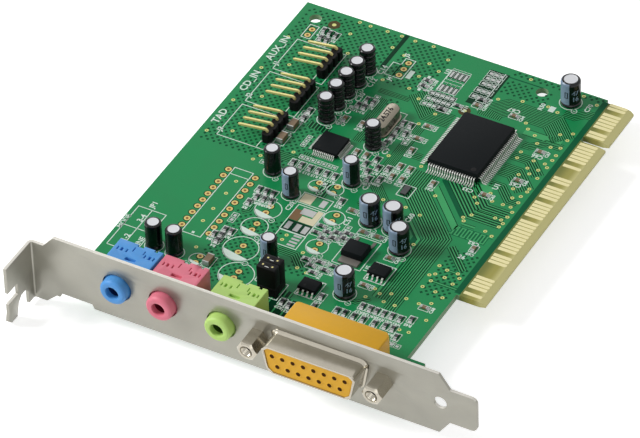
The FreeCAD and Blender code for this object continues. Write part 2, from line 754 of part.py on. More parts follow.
def gull_wing(start, outward, along, exit_height, reach, slim, foot=True):
    """One bent lead, from the side of a chip down to its pad; the finest ones have no flat foot."""
    thick = num("lead_thick")
    profile = [
        (0, exit_height + thick / 2), (reach * 0.5 + thick * 0.6, thick), (reach, thick), (reach, 0),
        (reach * 0.5, 0), (0, exit_height - thick / 2),
    ]
    if not foot:
        profile = [profile[0], profile[2], profile[3], profile[5]]
    points = [start - along * (slim / 2) + outward * r + V(0, 0, z) for r, z in profile]
    return prism(points, along * slim)


def lead_row(centre, outward, half_span, count, pitch, *bend):
    """A row of leads along one side of a chip; bend is what gull_wing takes after its directions."""
    along = V(-outward.y, outward.x, 0)
    start = V(centre[0], centre[1], 0) + outward * half_span
    steps = [(k - (count - 1) / 2) * pitch for k in range(count)]
    return [gull_wing(start + along * step, outward, along, *bend) for step in steps]


def make_chips():
    left, right, near_side, far_side = V(-1, 0, 0), V(1, 0, 0), V(0, -1, 0), V(0, 1, 0)
    size = ("controller_width", "controller_length", "controller_height")
    make_chip_body("controller_chip_body", CONTROLLER, *size)
    exit_height = num("(chip_standoff + controller_height) / 2")
    pitch, reach, slim = num("controller_pitch"), num("controller_reach"), num("lead_slim")
    leads = []
    for outward, half, count in (
        (left, "controller_width", 30), (right, "controller_width", 30),
        (near_side, "controller_length", 20), (far_side, "controller_length", 20),
    ):
        leads += lead_row(CONTROLLER, outward, num(half) / 2, count, pitch, exit_height, reach, slim)
    group("controller_chip_leads", leads)

    make_chip_body("codec_chip_body", CODEC, "codec_width", "codec_width", "codec_height")
    exit_height = num("(chip_standoff + codec_height) / 2")
    pitch, reach, slim = num("codec_pitch"), num("codec_reach"), num("lead_slim") * 0.8
    leads = []
    for outward in (left, right, near_side, far_side):
        leads += lead_row(CODEC, outward, num("codec_width") / 2, 12, pitch, exit_height, reach, slim, False)
    group("codec_chip_leads", leads)

    exit_height = num("(chip_standoff + small_chip_height) / 2")
    pitch, reach, broad = num("small_chip_pitch"), num("small_chip_reach"), num("lead_broad")
    for label, centre in SMALL_CHIPS.items():
        size = ("small_chip_width", "small_chip_length", "small_chip_height")
        make_chip_body(f"{label}_body", centre, *size)
        leads = []
        for outward in (near_side, far_side):
            half = num("small_chip_length") / 2
            leads += lead_row(centre, outward, half, 4, pitch, exit_height, reach, broad)
        group(f"{label}_leads", leads)


def make_regulator():
    body = new_body("regulator_body")
    base = sketch_on(body, "XY_Plane", "regulator_tab_thick")
    rectangle(
        base, "-regulator_width / 2", "-regulator_length / 2", "regulator_width / 2", "regulator_length / 2",
    )
    pad(body, base, "regulator_height - regulator_tab_thick", taper="-chip_draft")
    place(body, str(REGULATOR[0]), str(REGULATOR[1]))
    x, y = REGULATOR
    half, length = num("regulator_tab_width") / 2, num("regulator_length") / 2
    thick = num("regulator_tab_thick")
    frame = [block(x - half, y - length - num("regulator_tab_reach"), 0, x + half, y + length * 0.8, thick)]
    spread, reach = num("regulator_lead_spacing") / 2, num("regulator_lead_reach")
    exit_height = num("regulator_tab_thick + lead_thick")
    for side in (-1, 1):
        start = V(x + side * spread, y + length, 0)
        width = num("regulator_lead_width")
        frame.append(gull_wing(start, V(0, 1, 0), V(-1, 0, 0), exit_height, reach, width))
    group("regulator_lead_frame", frame)


def make_crystal():
    """A low metal can with round ends, standing on its welded rim."""
    body = new_body("crystal_can")
    turns = [math.radians(angle) for angle in range(0, 181, 30)]
    run = "(crystal_length - crystal_width) / 2"
    for grow, low, high, taper in (
        ("crystal_rim", "0", "crystal_rim_thick", "0"),
        ("0", "crystal_rim_thick", "crystal_height - crystal_rim_thick - crystal_edge", "0"),
        ("0", "crystal_height - crystal_edge", "crystal_edge", "-40"),
    ):
        radius = f"(crystal_width / 2 + {grow})"
        far = [(f"{math.cos(a):.6f} * {radius}", f"{run} + {math.sin(a):.6f} * {radius}") for a in turns]
        oval = sketch_on(body, "XY_Plane", low)
        outline(oval, far + [(f"-({x})", f"-({y})") for x, y in far])
        pad(body, oval, high, taper=taper)
    place(body, str(CRYSTAL[0]), str(CRYSTAL[1]))


# Pin headers and jumpers
def make_header(label, centre):
    body = new_body(f"{label}_base")
    side, notch = "header_width / 2", "header_notch"
    scallops = []
    for k in (2, 1, 0, -1):
        high, low = f"{k} * header_pitch", f"{k - 1} * header_pitch"
        scallops += [
            (f"-{side} + {notch}", high), (f"-{side}", f"{high} - {notch}"), (f"-{side}", f"{low} + {notch}"),
        ]
    scallops.append((f"-{side} + {notch}", "-2 * header_pitch"))
    base = sketch_on(body, "XY_Plane")
    outline(base, scallops + [(side, "-2 * header_pitch"), (side, "2 * header_pitch")])
    pad(body, base, "header_height")
    half = "(header_pin / 2 + header_pin_fit)"
    holes = sketch_on(body, "XY_Plane")
    for k in range(4):
        y = f"{k - 1.5} * header_pitch"
        rectangle(holes, f"-{half}", f"{y} - {half}", half, f"{y} + {half}")
    pocket(body, holes, reverse=True)
    place(body, str(centre[0]), str(centre[1]))

    half, bottom = num("header_pin") / 2, -num(STUB_BOTTOM)
    bend = num("header_height + header_pin_rise")
    tip = bend - num("header_pin_droop")
    pins = []
    for x, y in header_pin_places(centre):
        px, py, end = num(x), num(y) - half, num(x) - num("header_pin_reach")
        bent = [
            V(px + half, py, bottom), V(px + half, py, bend - half), V(px, py, bend + half),
            V(end, py, tip + half), V(end, py, tip - half), V(px - half, py, bend - 1.5 * half),
            V(px - half, py, bottom),
        ]
        pins.append(prism(bent, V(0, 2 * half, 0)))
    group(f"{label}_pins", pins)


def make_jumpers():
    x, y = JUMPERS
    half = "(header_pin / 2 + header_pin_fit)"
    at = [(f"{i} * header_pitch", f"{k} * header_pitch") for i in (-0.5, 0.5) for k in (-0.5, 0.5)]
    base = new_body("jumper_base")
    square = sketch_on(base, "XY_Plane")
    rectangle(square, "-jumper_width / 2", "-jumper_width / 2", "jumper_width / 2", "jumper_width / 2")
    pad(base, square, "jumper_base_height")
    holes = sketch_on(base, "XY_Plane")
    for px, py in at:
        rectangle(holes, f"{px} - {half}", f"{py} - {half}", f"{px} + {half}", f"{py} + {half}")
    pocket(base, holes, reverse=True)
    place(base, str(x), str(y))
    side, bottom = num("header_pin") / 2, -num(STUB_BOTTOM)
    top = num("jumper_base_height + jumper_cap_height")
    spots = [(num(px), num(py)) for px, py in jumper_pin_places()]
    pins = [block(px - side, py - side, bottom, px + side, py + side, top) for px, py in spots]
    group("jumper_pins", pins)
    for name, sign in (("front", -1), ("rear", 1)):
        cap = new_body(f"{name}_jumper_cap")
        row = f"{sign} * header_pitch / 2"
        deep = "(jumper_width / 4 - jumper_cap_gap)"
        shell = sketch_on(cap, "XY_Plane", "jumper_base_height")
        rectangle(shell, "-jumper_width / 2", f"{row} - {deep}", "jumper_width / 2", f"{row} + {deep}")
        pad(cap, shell, "jumper_cap_height")
        wells = sketch_on(cap, "XY_Plane", "jumper_base_height")
        for px, py in at:
            if py.startswith("-") == (sign < 0):
                rectangle(wells, f"{px} - {half}", f"{py} - {half}", f"{px} + {half}", f"{py} + {half}")
        pocket(cap, wells, reverse=True)
        place(cap, str(x), str(y))


# Capacitors and chip parts
def make_capacitors(label, places, radius, height):
    """Cans in plastic sleeves, standing on the board."""
    cans = []
    for count, (x, y) in enumerate(places, start=1):
        can = doc.addObject("Part::Prism", f"{label}_can_{count}")
        can.Polygon = 16
        tie(can, "Circumradius", radius)
        tie(can, "Height", height)
        can.Placement.Base = V(x, y, 0)
        cans.append(can)
    cluster = doc.addObject("Part::Compound", label)
    cluster.Label = label
    cluster.Links = cans
    place(cluster)


def chips(places, length, width, height, upright):
    """Small box-shaped parts soldered flat on the board."""
    along, across = num(length) / 2, num(width) / 2
    dx, dy = (across, along) if upright else (along, across)
    return [block(x - dx, y - dy, 0, x + dx, y + dy, num(height)) for x, y in places]


def make_chip_parts():
    size = ("chip_part_length", "chip_part_width", "chip_part_height")
    group("chip_resistors", chips(UPRIGHT_RESISTORS, *size, True) + chips(LEVEL_RESISTORS, *size, False))
    group("chip_capacitors", chips(UPRIGHT_CAPACITORS, *size, True) + chips(LEVEL_CAPACITORS, *size, False))
    group("ceramic_capacitors", chips(CERAMICS, "ceramic_length", "ceramic_width", "ceramic_height", True))
    group("resistor_network", chips(NETWORKS, "network_length", "network_width", "network_height", True))


make_bracket()
make_board()
make_contacts()
for jack, jack_x in JACKS.items():
    make_jack(jack, jack_x)
make_port()
make_chips()
make_regulator()
make_crystal()
for header, header_centre in HEADERS.items():
    make_header(header, header_centre)
make_jumpers()
make_capacitors("slim_capacitors", SLIM_CAPACITORS, "slim_capacitor", "slim_capacitor_height")
make_capacitors("wide_capacitors", WIDE_CAPACITORS, "wide_capacitor", "wide_capacitor_height")
make_chip_parts()

doc.recompute()
for item in doc.Objects:
    if {"Invalid", "Error"} & set(item.State):
        raise RuntimeError(f"{item.Label} did not rebuild: {item.State}")
os.makedirs("parts", exist_ok=True)
for part in subparts:
    if part.Shape.isNull() or not part.Shape.isValid():
        raise RuntimeError(f"{part.Label} has no valid shape")
for part in subparts:
    part.Shape.exportStep(os.path.join("parts", f"{part.Label}.step"))
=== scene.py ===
# Looks of a plug-in sound card: finishes for its solids, and the copper, plating, solder and lettering
# that the solids leave out. Places are in layout millimetres, as on the board's own drawing:
# X along the bracket from its screw tab, Y back from the bracket's outer face, Z up from the board.
import math

import bmesh
import bpy
from mathutils import Matrix, Vector


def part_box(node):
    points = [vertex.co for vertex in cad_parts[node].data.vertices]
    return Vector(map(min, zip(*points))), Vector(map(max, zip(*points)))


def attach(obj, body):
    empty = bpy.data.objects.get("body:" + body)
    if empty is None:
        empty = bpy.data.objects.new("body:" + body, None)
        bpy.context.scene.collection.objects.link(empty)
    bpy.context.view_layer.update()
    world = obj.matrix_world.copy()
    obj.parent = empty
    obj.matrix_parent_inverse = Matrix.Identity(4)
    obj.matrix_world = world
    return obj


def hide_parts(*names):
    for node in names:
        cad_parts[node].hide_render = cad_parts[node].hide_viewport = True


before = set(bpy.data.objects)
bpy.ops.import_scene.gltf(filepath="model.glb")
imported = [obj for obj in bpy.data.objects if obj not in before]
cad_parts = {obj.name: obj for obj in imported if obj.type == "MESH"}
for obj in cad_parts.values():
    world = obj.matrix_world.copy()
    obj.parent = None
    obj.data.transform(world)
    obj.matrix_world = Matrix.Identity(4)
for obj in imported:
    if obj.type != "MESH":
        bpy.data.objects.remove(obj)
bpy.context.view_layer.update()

MM = 0.001
BRACKET_LENGTH = 120.02
PORT_PROUD = 5.9
ORIGIN = Vector((
    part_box("mounting_bracket")[1].x - BRACKET_LENGTH * MM,
    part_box("game_port_shell")[0].y + PORT_PROUD * MM,
    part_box("circuit_board")[1].z,
))

# Heights of the thin layers over the board's upper side, and the board's own thickness
BAND_LEVEL = 0.002
VOID_LEVEL = 0.004
BARE_LEVEL = 0.006
TRACK_LEVEL = 0.010
RING_LEVEL = 0.016
PRINT_LEVEL = 0.024
PAD_LEVEL = 0.030
BOARD_THICK = 1.6
UNDER_RING_LEVEL = -BOARD_THICK - RING_LEVEL

# Names that several nodes share
CHIPS = ("controller", "codec", "amplifier", "memory")
JACKS = ("blue", "pink", "green")
HEADERS = ("aux", "cd", "phone")
CANS = ("slim_capacitors", "wide_capacitors")


# Colours and finishes

def linear(red, green, blue):
    """A screen colour, 0 to 255, as the linear colour that shaders take."""
    shares = [((c / 255 + 0.055) / 1.055) ** 2.4 if c > 10 else c / 3295 for c in (red, green, blue)]
    return (*shares, 1.0)


def node_group(name, inputs, outputs):
    """An empty shader group with named sockets: (name, kind, default)."""
    group = bpy.data.node_groups.new(name, "ShaderNodeTree")
    for title, kind, value in inputs:
        socket = group.interface.new_socket(title, in_out="INPUT", socket_type=kind)
        socket.default_value = value
    for title, kind in outputs:
        group.interface.new_socket(title, in_out="OUTPUT", socket_type=kind)
    return group, group.nodes.new("NodeGroupInput").outputs, group.nodes.new("NodeGroupOutput").inputs


def feed(tree, socket, value):
    """Gives a socket another socket's output, or a plain value."""
    if isinstance(value, bpy.types.NodeSocket):
        tree.links.new(value, socket)
    else:
        socket.default_value = value


def add(tree, kind, **values):
    """A node with its properties and sockets set by name."""
    node = tree.nodes.new(kind)
    for key, value in values.items():
        if hasattr(node, key):
            setattr(node, key, value)
        else:
            feed(tree, node.inputs[key], value)
    return node


def maths(tree, operation, *terms):
    """What a Math node makes of its terms, which are numbers or sockets."""
    node = add(tree, "ShaderNodeMath", operation=operation)
    for socket, term in zip(node.inputs, terms):
        feed(tree, socket, term)
    return node.outputs[0]


def mixed(tree, share, first, second):
    """One colour running into another, by a share of 0 to 1."""
    return add(tree, "ShaderNodeMix", data_type="RGBA", Factor=share, A=first, B=second).outputs["Result"]


NOISE_MIDDLE, CLOUD_SHARE = 0.5, 0.16
ROUGH_SWING, GRAIN_DEPTH = 0.15, 0.0001


def fine_grain_group():
    """Small uneven shading and relief, as on moulded plastic and plated metal."""
    group, given, result = node_group(
        "fine_grain",
        [("Colour", "NodeSocketColor", (0.5, 0.5, 0.5, 1)), ("Scale", "NodeSocketFloat", 900.0),
         ("Tint", "NodeSocketFloat", 0.06), ("Cloud", "NodeSocketFloat", 0.08),
         ("Roughness", "NodeSocketFloat", 0.5), ("Relief", "NodeSocketFloat", 0.05)],
        [("Colour", "NodeSocketColor"), ("Roughness", "NodeSocketFloat"), ("Normal", "NodeSocketVector")],
    )
    place = group.nodes.new("ShaderNodeTexCoord").outputs["Object"]
    link = group.links.new
    grain = add(group, "ShaderNodeTexNoise", Vector=place, Scale=given["Scale"], Detail=4.0).outputs["Fac"]
    centred = maths(group, "SUBTRACT", grain, NOISE_MIDDLE)
    swing = maths(group, "MULTIPLY_ADD", centred, given["Tint"], 1.0)
    wider = maths(group, "MULTIPLY", given["Scale"], CLOUD_SHARE)
    broad = add(group, "ShaderNodeTexNoise", Vector=place, Scale=wider, Detail=3.0).outputs["Fac"]
    level = maths(group, "SUBTRACT", broad, NOISE_MIDDLE)
    clouded = maths(group, "MULTIPLY_ADD", level, given["Cloud"], swing)
    tinted = add(group, "ShaderNodeVectorMath", operation="SCALE", Scale=clouded)
    link(given["Colour"], tinted.inputs[0])
    link(tinted.outputs[0], result["Colour"])
    link(maths(group, "MULTIPLY_ADD", centred, ROUGH_SWING, given["Roughness"]), result["Roughness"])
    bump = add(group, "ShaderNodeBump", Distance=GRAIN_DEPTH, Strength=given["Relief"], Height=grain)
    link(bump.outputs["Normal"], result["Normal"])
    return group


FINE_GRAIN = fine_grain_group()


def new_material(name, metallic=0.0, shine=0.5):
    """An empty finish; shine is the strength of the plain reflection."""
    material = bpy.data.materials.new(name)
    material.use_nodes = True
    shader = material.node_tree.nodes["Principled BSDF"]
    shader.inputs["Metallic"].default_value = metallic
    shader.inputs["Specular IOR Level"].default_value = shine
    return material, material.node_tree, shader


def grained(name, colour, rough, metallic=0.0, shine=0.5, scale=900.0, tint=0.08, cloud=0.08, relief=0.05):
    """A finish of one colour with fine grain and faint broad clouds."""
    material, tree, shader = new_material(name, metallic, shine)
    grain = add(tree, "ShaderNodeGroup", node_tree=FINE_GRAIN, Colour=linear(*colour), Scale=scale, Tint=tint,
                Cloud=cloud, Roughness=rough, Relief=relief)
    for source, target in (("Colour", "Base Color"), ("Roughness", "Roughness"), ("Normal", "Normal")):
        tree.links.new(grain.outputs[source], shader.inputs[target])
    return material


def plain(name, colour, rough, metallic=0.0, shine=0.5):
    """A finish of one even colour."""
    material, _, shader = new_material(name, metallic, shine)
    shader.inputs["Base Color"].default_value = linear(*colour)
    shader.inputs["Roughness"].default_value = rough
    return material


# The bare laminate of the contact tab starts at these places and turns paler towards the tab's end
TAB_BARE_FROM, TAB_NEAR = 94.2, 39.0
LAMINATE_INNER, LAMINATE_EDGE = (118, 124, 60), (128, 160, 122)
LAMINATE_FADE = [(0.4, 3.4, (166, 160, 84)), (3.4, 5.8, (212, 206, 144))]
MASK_GREEN = (20, 137, 78)
MASK_GRAIN = {"Scale": 160.0, "Tint": 0.12, "Roughness": 0.42, "Relief": 0.02}
CUT_SLOPE = 0.5
BOARD_SHINE, DARK_SHINE = 0.2, 0.06


def board_finish():
    """Green mask over the board, its paler cut edges, and bare laminate on the contact tab."""
    material, tree, shader = new_material("green_mask", shine=BOARD_SHINE)
    place = tree.nodes.new("ShaderNodeTexCoord").outputs
    spot = add(tree, "ShaderNodeSeparateXYZ", Vector=place["Object"]).outputs
    past_mask = maths(tree, "GREATER_THAN", spot["X"], ORIGIN.x + TAB_BARE_FROM * MM)
    past_side = maths(tree, "GREATER_THAN", spot["Y"], ORIGIN.y + TAB_NEAR * MM)
    tab = maths(tree, "MULTIPLY", past_mask, past_side)
    laminate = linear(*LAMINATE_INNER)
    for begin, end, colour in LAMINATE_FADE:
        reach = add(tree, "ShaderNodeMapRange", interpolation_type="SMOOTHSTEP", Value=spot["X"])
        reach.inputs["From Min"].default_value = ORIGIN.x + (TAB_BARE_FROM + begin) * MM
        reach.inputs["From Max"].default_value = ORIGIN.x + (TAB_BARE_FROM + end) * MM
        laminate = mixed(tree, reach.outputs["Result"], laminate, linear(*colour))
    mask = add(tree, "ShaderNodeGroup", node_tree=FINE_GRAIN, Colour=linear(*MASK_GREEN), **MASK_GRAIN)
    facing = add(tree, "ShaderNodeSeparateXYZ", Vector=place["Normal"]).outputs["Z"]
    cut = maths(tree, "LESS_THAN", maths(tree, "ABSOLUTE", facing), CUT_SLOPE)
    edged = mixed(tree, cut, mask.outputs["Colour"], linear(*LAMINATE_EDGE))
    tree.links.new(mixed(tree, tab, edged, laminate), shader.inputs["Base Color"])
    for channel in ("Roughness", "Normal"):
        tree.links.new(mask.outputs[channel], shader.inputs[channel])
    return material


FINISH = {
    "mask": board_finish(),
    "bare_mask": plain("bare_green", (4, 54, 32), 0.44, shine=DARK_SHINE),
    "void": plain("void_green", (8, 76, 45), 0.44, shine=DARK_SHINE),
    "deep_mask": plain("deep_green", (10, 92, 57), 0.44, shine=DARK_SHINE),
    "track": plain("track_green", (58, 164, 98), 0.42, shine=BOARD_SHINE),
    "print": plain("printed_white", (218, 236, 224), 0.6),
    "ring": plain("ring_gold", (216, 218, 130), 0.4, metallic=0.1),
    # Discs over the open via bores: painted shade
    "hole": plain("hole_dark", (74, 92, 52), 0.7),
    "wide_ring": plain("wide_ring_gold", (216, 194, 112), 0.4, metallic=0.15),
    # Discs over the wide bores: the plated copper inside, darkened by painted shade
    "bore_copper_and_shade": plain("wide_hole_brown", (142, 88, 42), 0.7),
    # Dark brown for the socket openings in the port's face: painted shade of the holes
    "socket": plain("socket_brown", (66, 36, 10), 0.8, shine=0.1),
    "solder": grained("solder", (168, 170, 168), 0.34, metallic=0.7, scale=1400.0),
    "gold": grained("contact_gold", (230, 221, 166), 0.38, metallic=0.35, scale=700.0, tint=0.05,
                    relief=0.01),
    "steel": grained("bracket_steel", (160, 158, 148), 0.38, metallic=0.75, scale=420.0, cloud=0.45,
                     relief=0.03),
    # Lighter steel for the bracket's upward faces: a painted highlight
    "painted_highlight": plain("sheared_edge", (216, 213, 204), 0.4, metallic=0.4),
    "nickel": grained("bright_nickel", (184, 178, 164), 0.2, metallic=0.95, scale=600.0, tint=0.05,
                      cloud=0.2, relief=0.01),
    "blue": grained("blue_plastic", (76, 152, 222), 0.45),
    "pink": grained("pink_plastic", (226, 118, 138), 0.45),
    "green": grained("green_plastic", (182, 218, 116), 0.45),
    # Darker tones of the jack colours: painted shade deep inside the jack bores
    "deep_blue": plain("deep_blue_plastic", (14, 46, 102), 0.6, shine=0.2),
    "deep_pink": plain("deep_pink_plastic", (104, 22, 40), 0.6, shine=0.2),
    "deep_green": plain("deep_green_plastic", (54, 84, 20), 0.6, shine=0.2),
    "orange": grained("orange_plastic", (228, 172, 36), 0.48, shine=0.35),
    "epoxy": grained("chip_epoxy", (14, 18, 20), 0.62, shine=0.1, scale=1800.0, tint=0.3, relief=0.12),
    "black": grained("black_plastic", (13, 13, 14), 0.5, shine=0.12, scale=1500.0, tint=0.25),
    "sleeve": plain("black_sleeve", (11, 12, 15), 0.18, shine=0.34),
    "stripe": plain("sleeve_stripe", (130, 150, 174), 0.26, shine=0.4),
    "can_top": plain("can_top", (228, 230, 234), 0.5),
    "tin": plain("bright_tin", (222, 224, 218), 0.34, metallic=0.4),
    "dull_tin": plain("dull_tin", (122, 118, 112), 0.5, metallic=0.4),
    "pin": plain("pale_gold_pin", (218, 205, 132), 0.32, metallic=0.35),
    "crystal": grained("crystal_metal", (132, 126, 113), 0.28, metallic=0.9, scale=500.0),
    "resistor": plain("resistor_glaze", (34, 35, 38), 0.3),
    "ceramic": plain("fired_ceramic", (122, 100, 74), 0.5),
    "fiducial": plain("fiducial_dark", (74, 64, 30), 0.5, shine=0.15),
    "brown_land": plain("brown_land", (120, 92, 60), 0.6),
    "cream_land": plain("cream_land", (222, 214, 180), 0.6),
    # Near-black painted shade, for the thread and bottom of the standoffs' holes and the openings round the
    # jumper's pins
    "painted_shade": plain("hollow_dark", (14, 13, 14), 0.9),
}


# Mesh making, in layout millimetres

def placed(name, data):
    """A new object in the scene."""
    thing = bpy.data.objects.new(name, data)
    bpy.context.scene.collection.objects.link(thing)
    return thing


def show(mesh, replaced=()):
    """Puts a finished mesh in the scene, riding on the card."""
    piece = placed(mesh.name, mesh)
    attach(piece, "root")
    if replaced:
        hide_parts(*replaced)
    return piece


def evaluated(carrier):
    """The plain mesh of an object with its modifiers applied; the object itself goes."""
    graph = bpy.context.evaluated_depsgraph_get()
    mesh = bpy.data.meshes.new_from_object(carrier.evaluated_get(graph))
    bpy.data.objects.remove(carrier)
    return mesh


def smooth_over(mesh, angle):
    """Smooth shading, except across edges sharper than an angle in degrees."""
    mesh.polygons.foreach_set("use_smooth", [True] * len(mesh.polygons))
    mesh.set_sharp_from_angle(angle=math.radians(angle))


class Shape:
    """Points and faces gathered for one piece; a face's kind is the index of its finish."""

    def __init__(self):
        self.points, self.faces, self.kinds = [], [], []

    def add(self, points, faces, kind=0):
        """Takes in faces, which count from the first of their own points."""
        start = len(self.points)
        self.points += [Vector(p) for p in points]
        self.faces += [[start + k for k in face] for face in faces]
        self.kinds += [kind] * len(faces)

    def mesh(self, name, finishes, smooth=0.0):
        """The faces as a mesh; smooth is the sharpest angle, in degrees, that is shaded over."""
        mesh = bpy.data.meshes.new(name)
        mesh.from_pydata([ORIGIN + p * MM for p in self.points], [], self.faces)
        for finish in finishes:
            mesh.materials.append(FINISH[finish])
        mesh.polygons.foreach_set("material_index", self.kinds)
        if smooth:
            smooth_over(mesh, smooth)
        mesh.update()
        return mesh


def mitred(line, shift):
    """The line moved sideways by a distance, with its corners kept square to the bends."""
    moved = []
    for k, here in enumerate(line):
        ways = []
        if k:
            ways.append((here - line[k - 1]).normalized())
        if k + 1 < len(line):
            ways.append((line[k + 1] - here).normalized())
        sides = [Vector((-way.y, way.x)) for way in ways]
        middle = sum(sides, Vector((0, 0)))
        scale = 2 if len(sides) == 2 else 1
        moved.append(here + middle * (shift * scale / middle.length_squared))
    return moved


def ribbon(shape, line, width, level, kind=0):
    """A flat strip along a line."""
    line = [Vector(p) for p in line]
    left, right = mitred(line, width / 2), mitred(line, -width / 2)
    points = [(p.x, p.y, level) for p in left + right]
    count = len(line)
    shape.add(points, [(k + count, k + 1 + count, k + 1, k) for k in range(count - 1)], kind)


def arc(x, y, radius, start, end, steps):
    """Points along a circle, from one angle in degrees to another."""
    turns = [math.radians(start + (end - start) * k / steps) for k in range(steps + 1)]
    return [(x + radius * math.cos(a), y + radius * math.sin(a)) for a in turns]


def disc(shape, x, y, radius, level, kind=0, steps=16):
    """A flat round patch."""
    points = [(px, py, level) for px, py in arc(x, y, radius, 0, 360, steps)[:-1]]
    shape.add(points, [range(steps)], kind)


def panel(shape, x0, y0, x1, y1, level, kind=0):
    """A flat rectangle between two corners."""
    shape.add([(x0, y0, level), (x1, y0, level), (x1, y1, level), (x0, y1, level)], [(0, 1, 2, 3)], kind)


SQUARE = ((-1, -1), (1, -1), (1, 1), (-1, 1))


def box(shape, centre, size, kind=0):
    """A plain block about its centre."""
    x, y, z = size / 2
    points = [centre + Vector((sx * x, sy * y, sz * z)) for sz in (-1, 1) for sx, sy in SQUARE]
    faces = [(3, 2, 1, 0), (4, 5, 6, 7), (0, 1, 5, 4), (1, 2, 6, 5), (2, 3, 7, 6), (3, 0, 4, 7)]
    shape.add(points, faces, kind)


def skin(shape, rings):
    """Joins rings of equal count into a tube."""
    count = len(rings[0])
    for low, high in zip(rings, rings[1:]):
        faces = [(k, (k + 1) % count, count + (k + 1) % count, count + k) for k in range(count)]
        shape.add(low + high, faces)


def lathe(shape, profile, centre, steps, axis="Z", kinds=None):
    """A turned form. The profile is (radius, place) pairs, listed upwards on Z and towards the front on Y.

    The kinds are those of the bands between the pairs; one may be a function of the angle in degrees.
    """
    rings = []
    for radius, height in profile:
        ring = []
        for k in range(steps):
            a = 2 * math.pi * k / steps
            u, v = radius * math.cos(a), radius * math.sin(a)
            ring.append(Vector((u, v, height)) if axis == "Z" else Vector((u, height, v)))
        rings.append(ring)
    start = Vector(centre)
    for band in range(len(rings) - 1):
        low, high = rings[band], rings[band + 1]
        points = [start + p for p in low + high]
        faces = []
        for k in range(steps):
            n = (k + 1) % steps
            faces.append((k, n, steps + n, steps + k))
        kind = kinds[band] if kinds else 0
        if callable(kind):
            for k, face in enumerate(faces):
                shape.add([points[i] for i in face], [(0, 1, 2, 3)], kind(360 * (k + 0.5) / steps))
        else:
            shape.add(points, faces, kind)


def layout_box(node):
    """The low and the high corner of a CAD node, in layout millimetres."""
    return [(corner - ORIGIN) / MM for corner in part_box(node)]


def loose_parts(node):
    """The box of each separate solid of a CAD node, as (low, high) in layout millimetres."""
    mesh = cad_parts[node].data
    key = [tuple(round(c / MM, 3) for c in v.co - ORIGIN) for v in mesh.vertices]
    parent = {k: k for k in key}

    def root(k):
        while parent[k] != k:
            parent[k] = parent[parent[k]]
            k = parent[k]
        return k

    for face in mesh.polygons:
        first = key[face.vertices[0]]
        for other in face.vertices[1:]:
            parent[root(key[other])] = root(first)
    parts = {}
    for k in parent:
        parts.setdefault(root(k), []).append(k)
    boxes = []
    for points in parts.values():
        low = Vector(min(p[i] for p in points) for i in range(3))
        high = Vector(max(p[i] for p in points) for i in range(3))
        boxes.append((low, high))
    return sorted(boxes, key=lambda pair: tuple(pair[0]))


def carved(mesh, boxes):
    """A closed mesh with boxes, each from one corner to the other, cut out of it."""
    tool = Shape()
    for low, high in boxes:
        box(tool, (low + high) / 2, high - low)
    carrier, cutter = placed("uncut", mesh), placed("cutter", tool.mesh("cutter", []))
    cut = carrier.modifiers.new("cut", "BOOLEAN")
    cut.operation, cut.solver, cut.object = "DIFFERENCE", "EXACT", cutter
    result = evaluated(carrier)
    bpy.data.objects.remove(cutter)
    return result


# Points this close, in metres, are one; faces this level are one; the rest are angles of edges in degrees
MERGE_DISTANCE, FLAT_ANGLE = 1e-7, 1.0
BEVEL_ANGLE, ROUND_ANGLE = 35.0, 30.0


def softened(node, finish, edge, cuts=()):
    """A copy of a CAD solid with its edges slightly rounded, in place of the solid."""
    work = bmesh.new()
    work.from_mesh(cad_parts[node].data)
    bmesh.ops.remove_doubles(work, verts=work.verts, dist=MERGE_DISTANCE)
    bmesh.ops.dissolve_limit(work, angle_limit=math.radians(FLAT_ANGLE), verts=work.verts, edges=work.edges)
    mesh = bpy.data.meshes.new(f"{node}_rounded")
    work.to_mesh(mesh)
    work.free()
    mesh.materials.clear()
    mesh.materials.append(FINISH[finish])
    carrier = placed(mesh.name, mesh)
    bevel = carrier.modifiers.new("edge", "BEVEL")
    bevel.width, bevel.segments = edge * MM, 2
    bevel.limit_method, bevel.angle_limit = "ANGLE", math.radians(BEVEL_ANGLE)
    bevel.use_clamp_overlap = True
    rounded = evaluated(carrier)
    if cuts:
        rounded = carved(rounded, cuts)
    rounded.name = f"{node}_finish"
    smooth_over(rounded, ROUND_ANGLE)
    return show(rounded, replaced=[node])


def paint(node, finish):
    """The CAD node keeps its own mesh and takes a finish."""
    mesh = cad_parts[node].data
    mesh.materials.clear()
    mesh.materials.append(FINISH[finish])


# Camera, light and floor

# The photo's camera: its focal length in pixels, and its place and axes in layout millimetres
IMAGE_WIDTH, FOCAL_PIXELS = 640, 5673.88
EYE = (569.739, -841.628, 906.313)
RIGHT = (0.8757476, 0.48200608, -0.0271345)
DOWN = (0.30067788, -0.58854367, -0.75047263)
AHEAD = (-0.37770221, 0.64906586, -0.66034427)
SENSOR_WIDTH, CLIP_NEAR, CLIP_FAR = 36.0, 0.05, 20.0

# Lamps as name, place, size and power, in metres and watts
LAMPS = [
    ("key", (-0.8, -0.35, 0.65), 0.4, 8.3),
    ("fill", (0.5, -0.9, 0.5), 0.7, 1.2),
    ("rim", (-0.5, 0.8, 0.5), 0.3, 0.6),
]
SKY_LIGHT, FLOOR_GLOW = 0.34, 0.6
FLOOR_HALF, FLOOR_PALE, FLOOR_ROUGH = 3.0, 0.92, 0.9


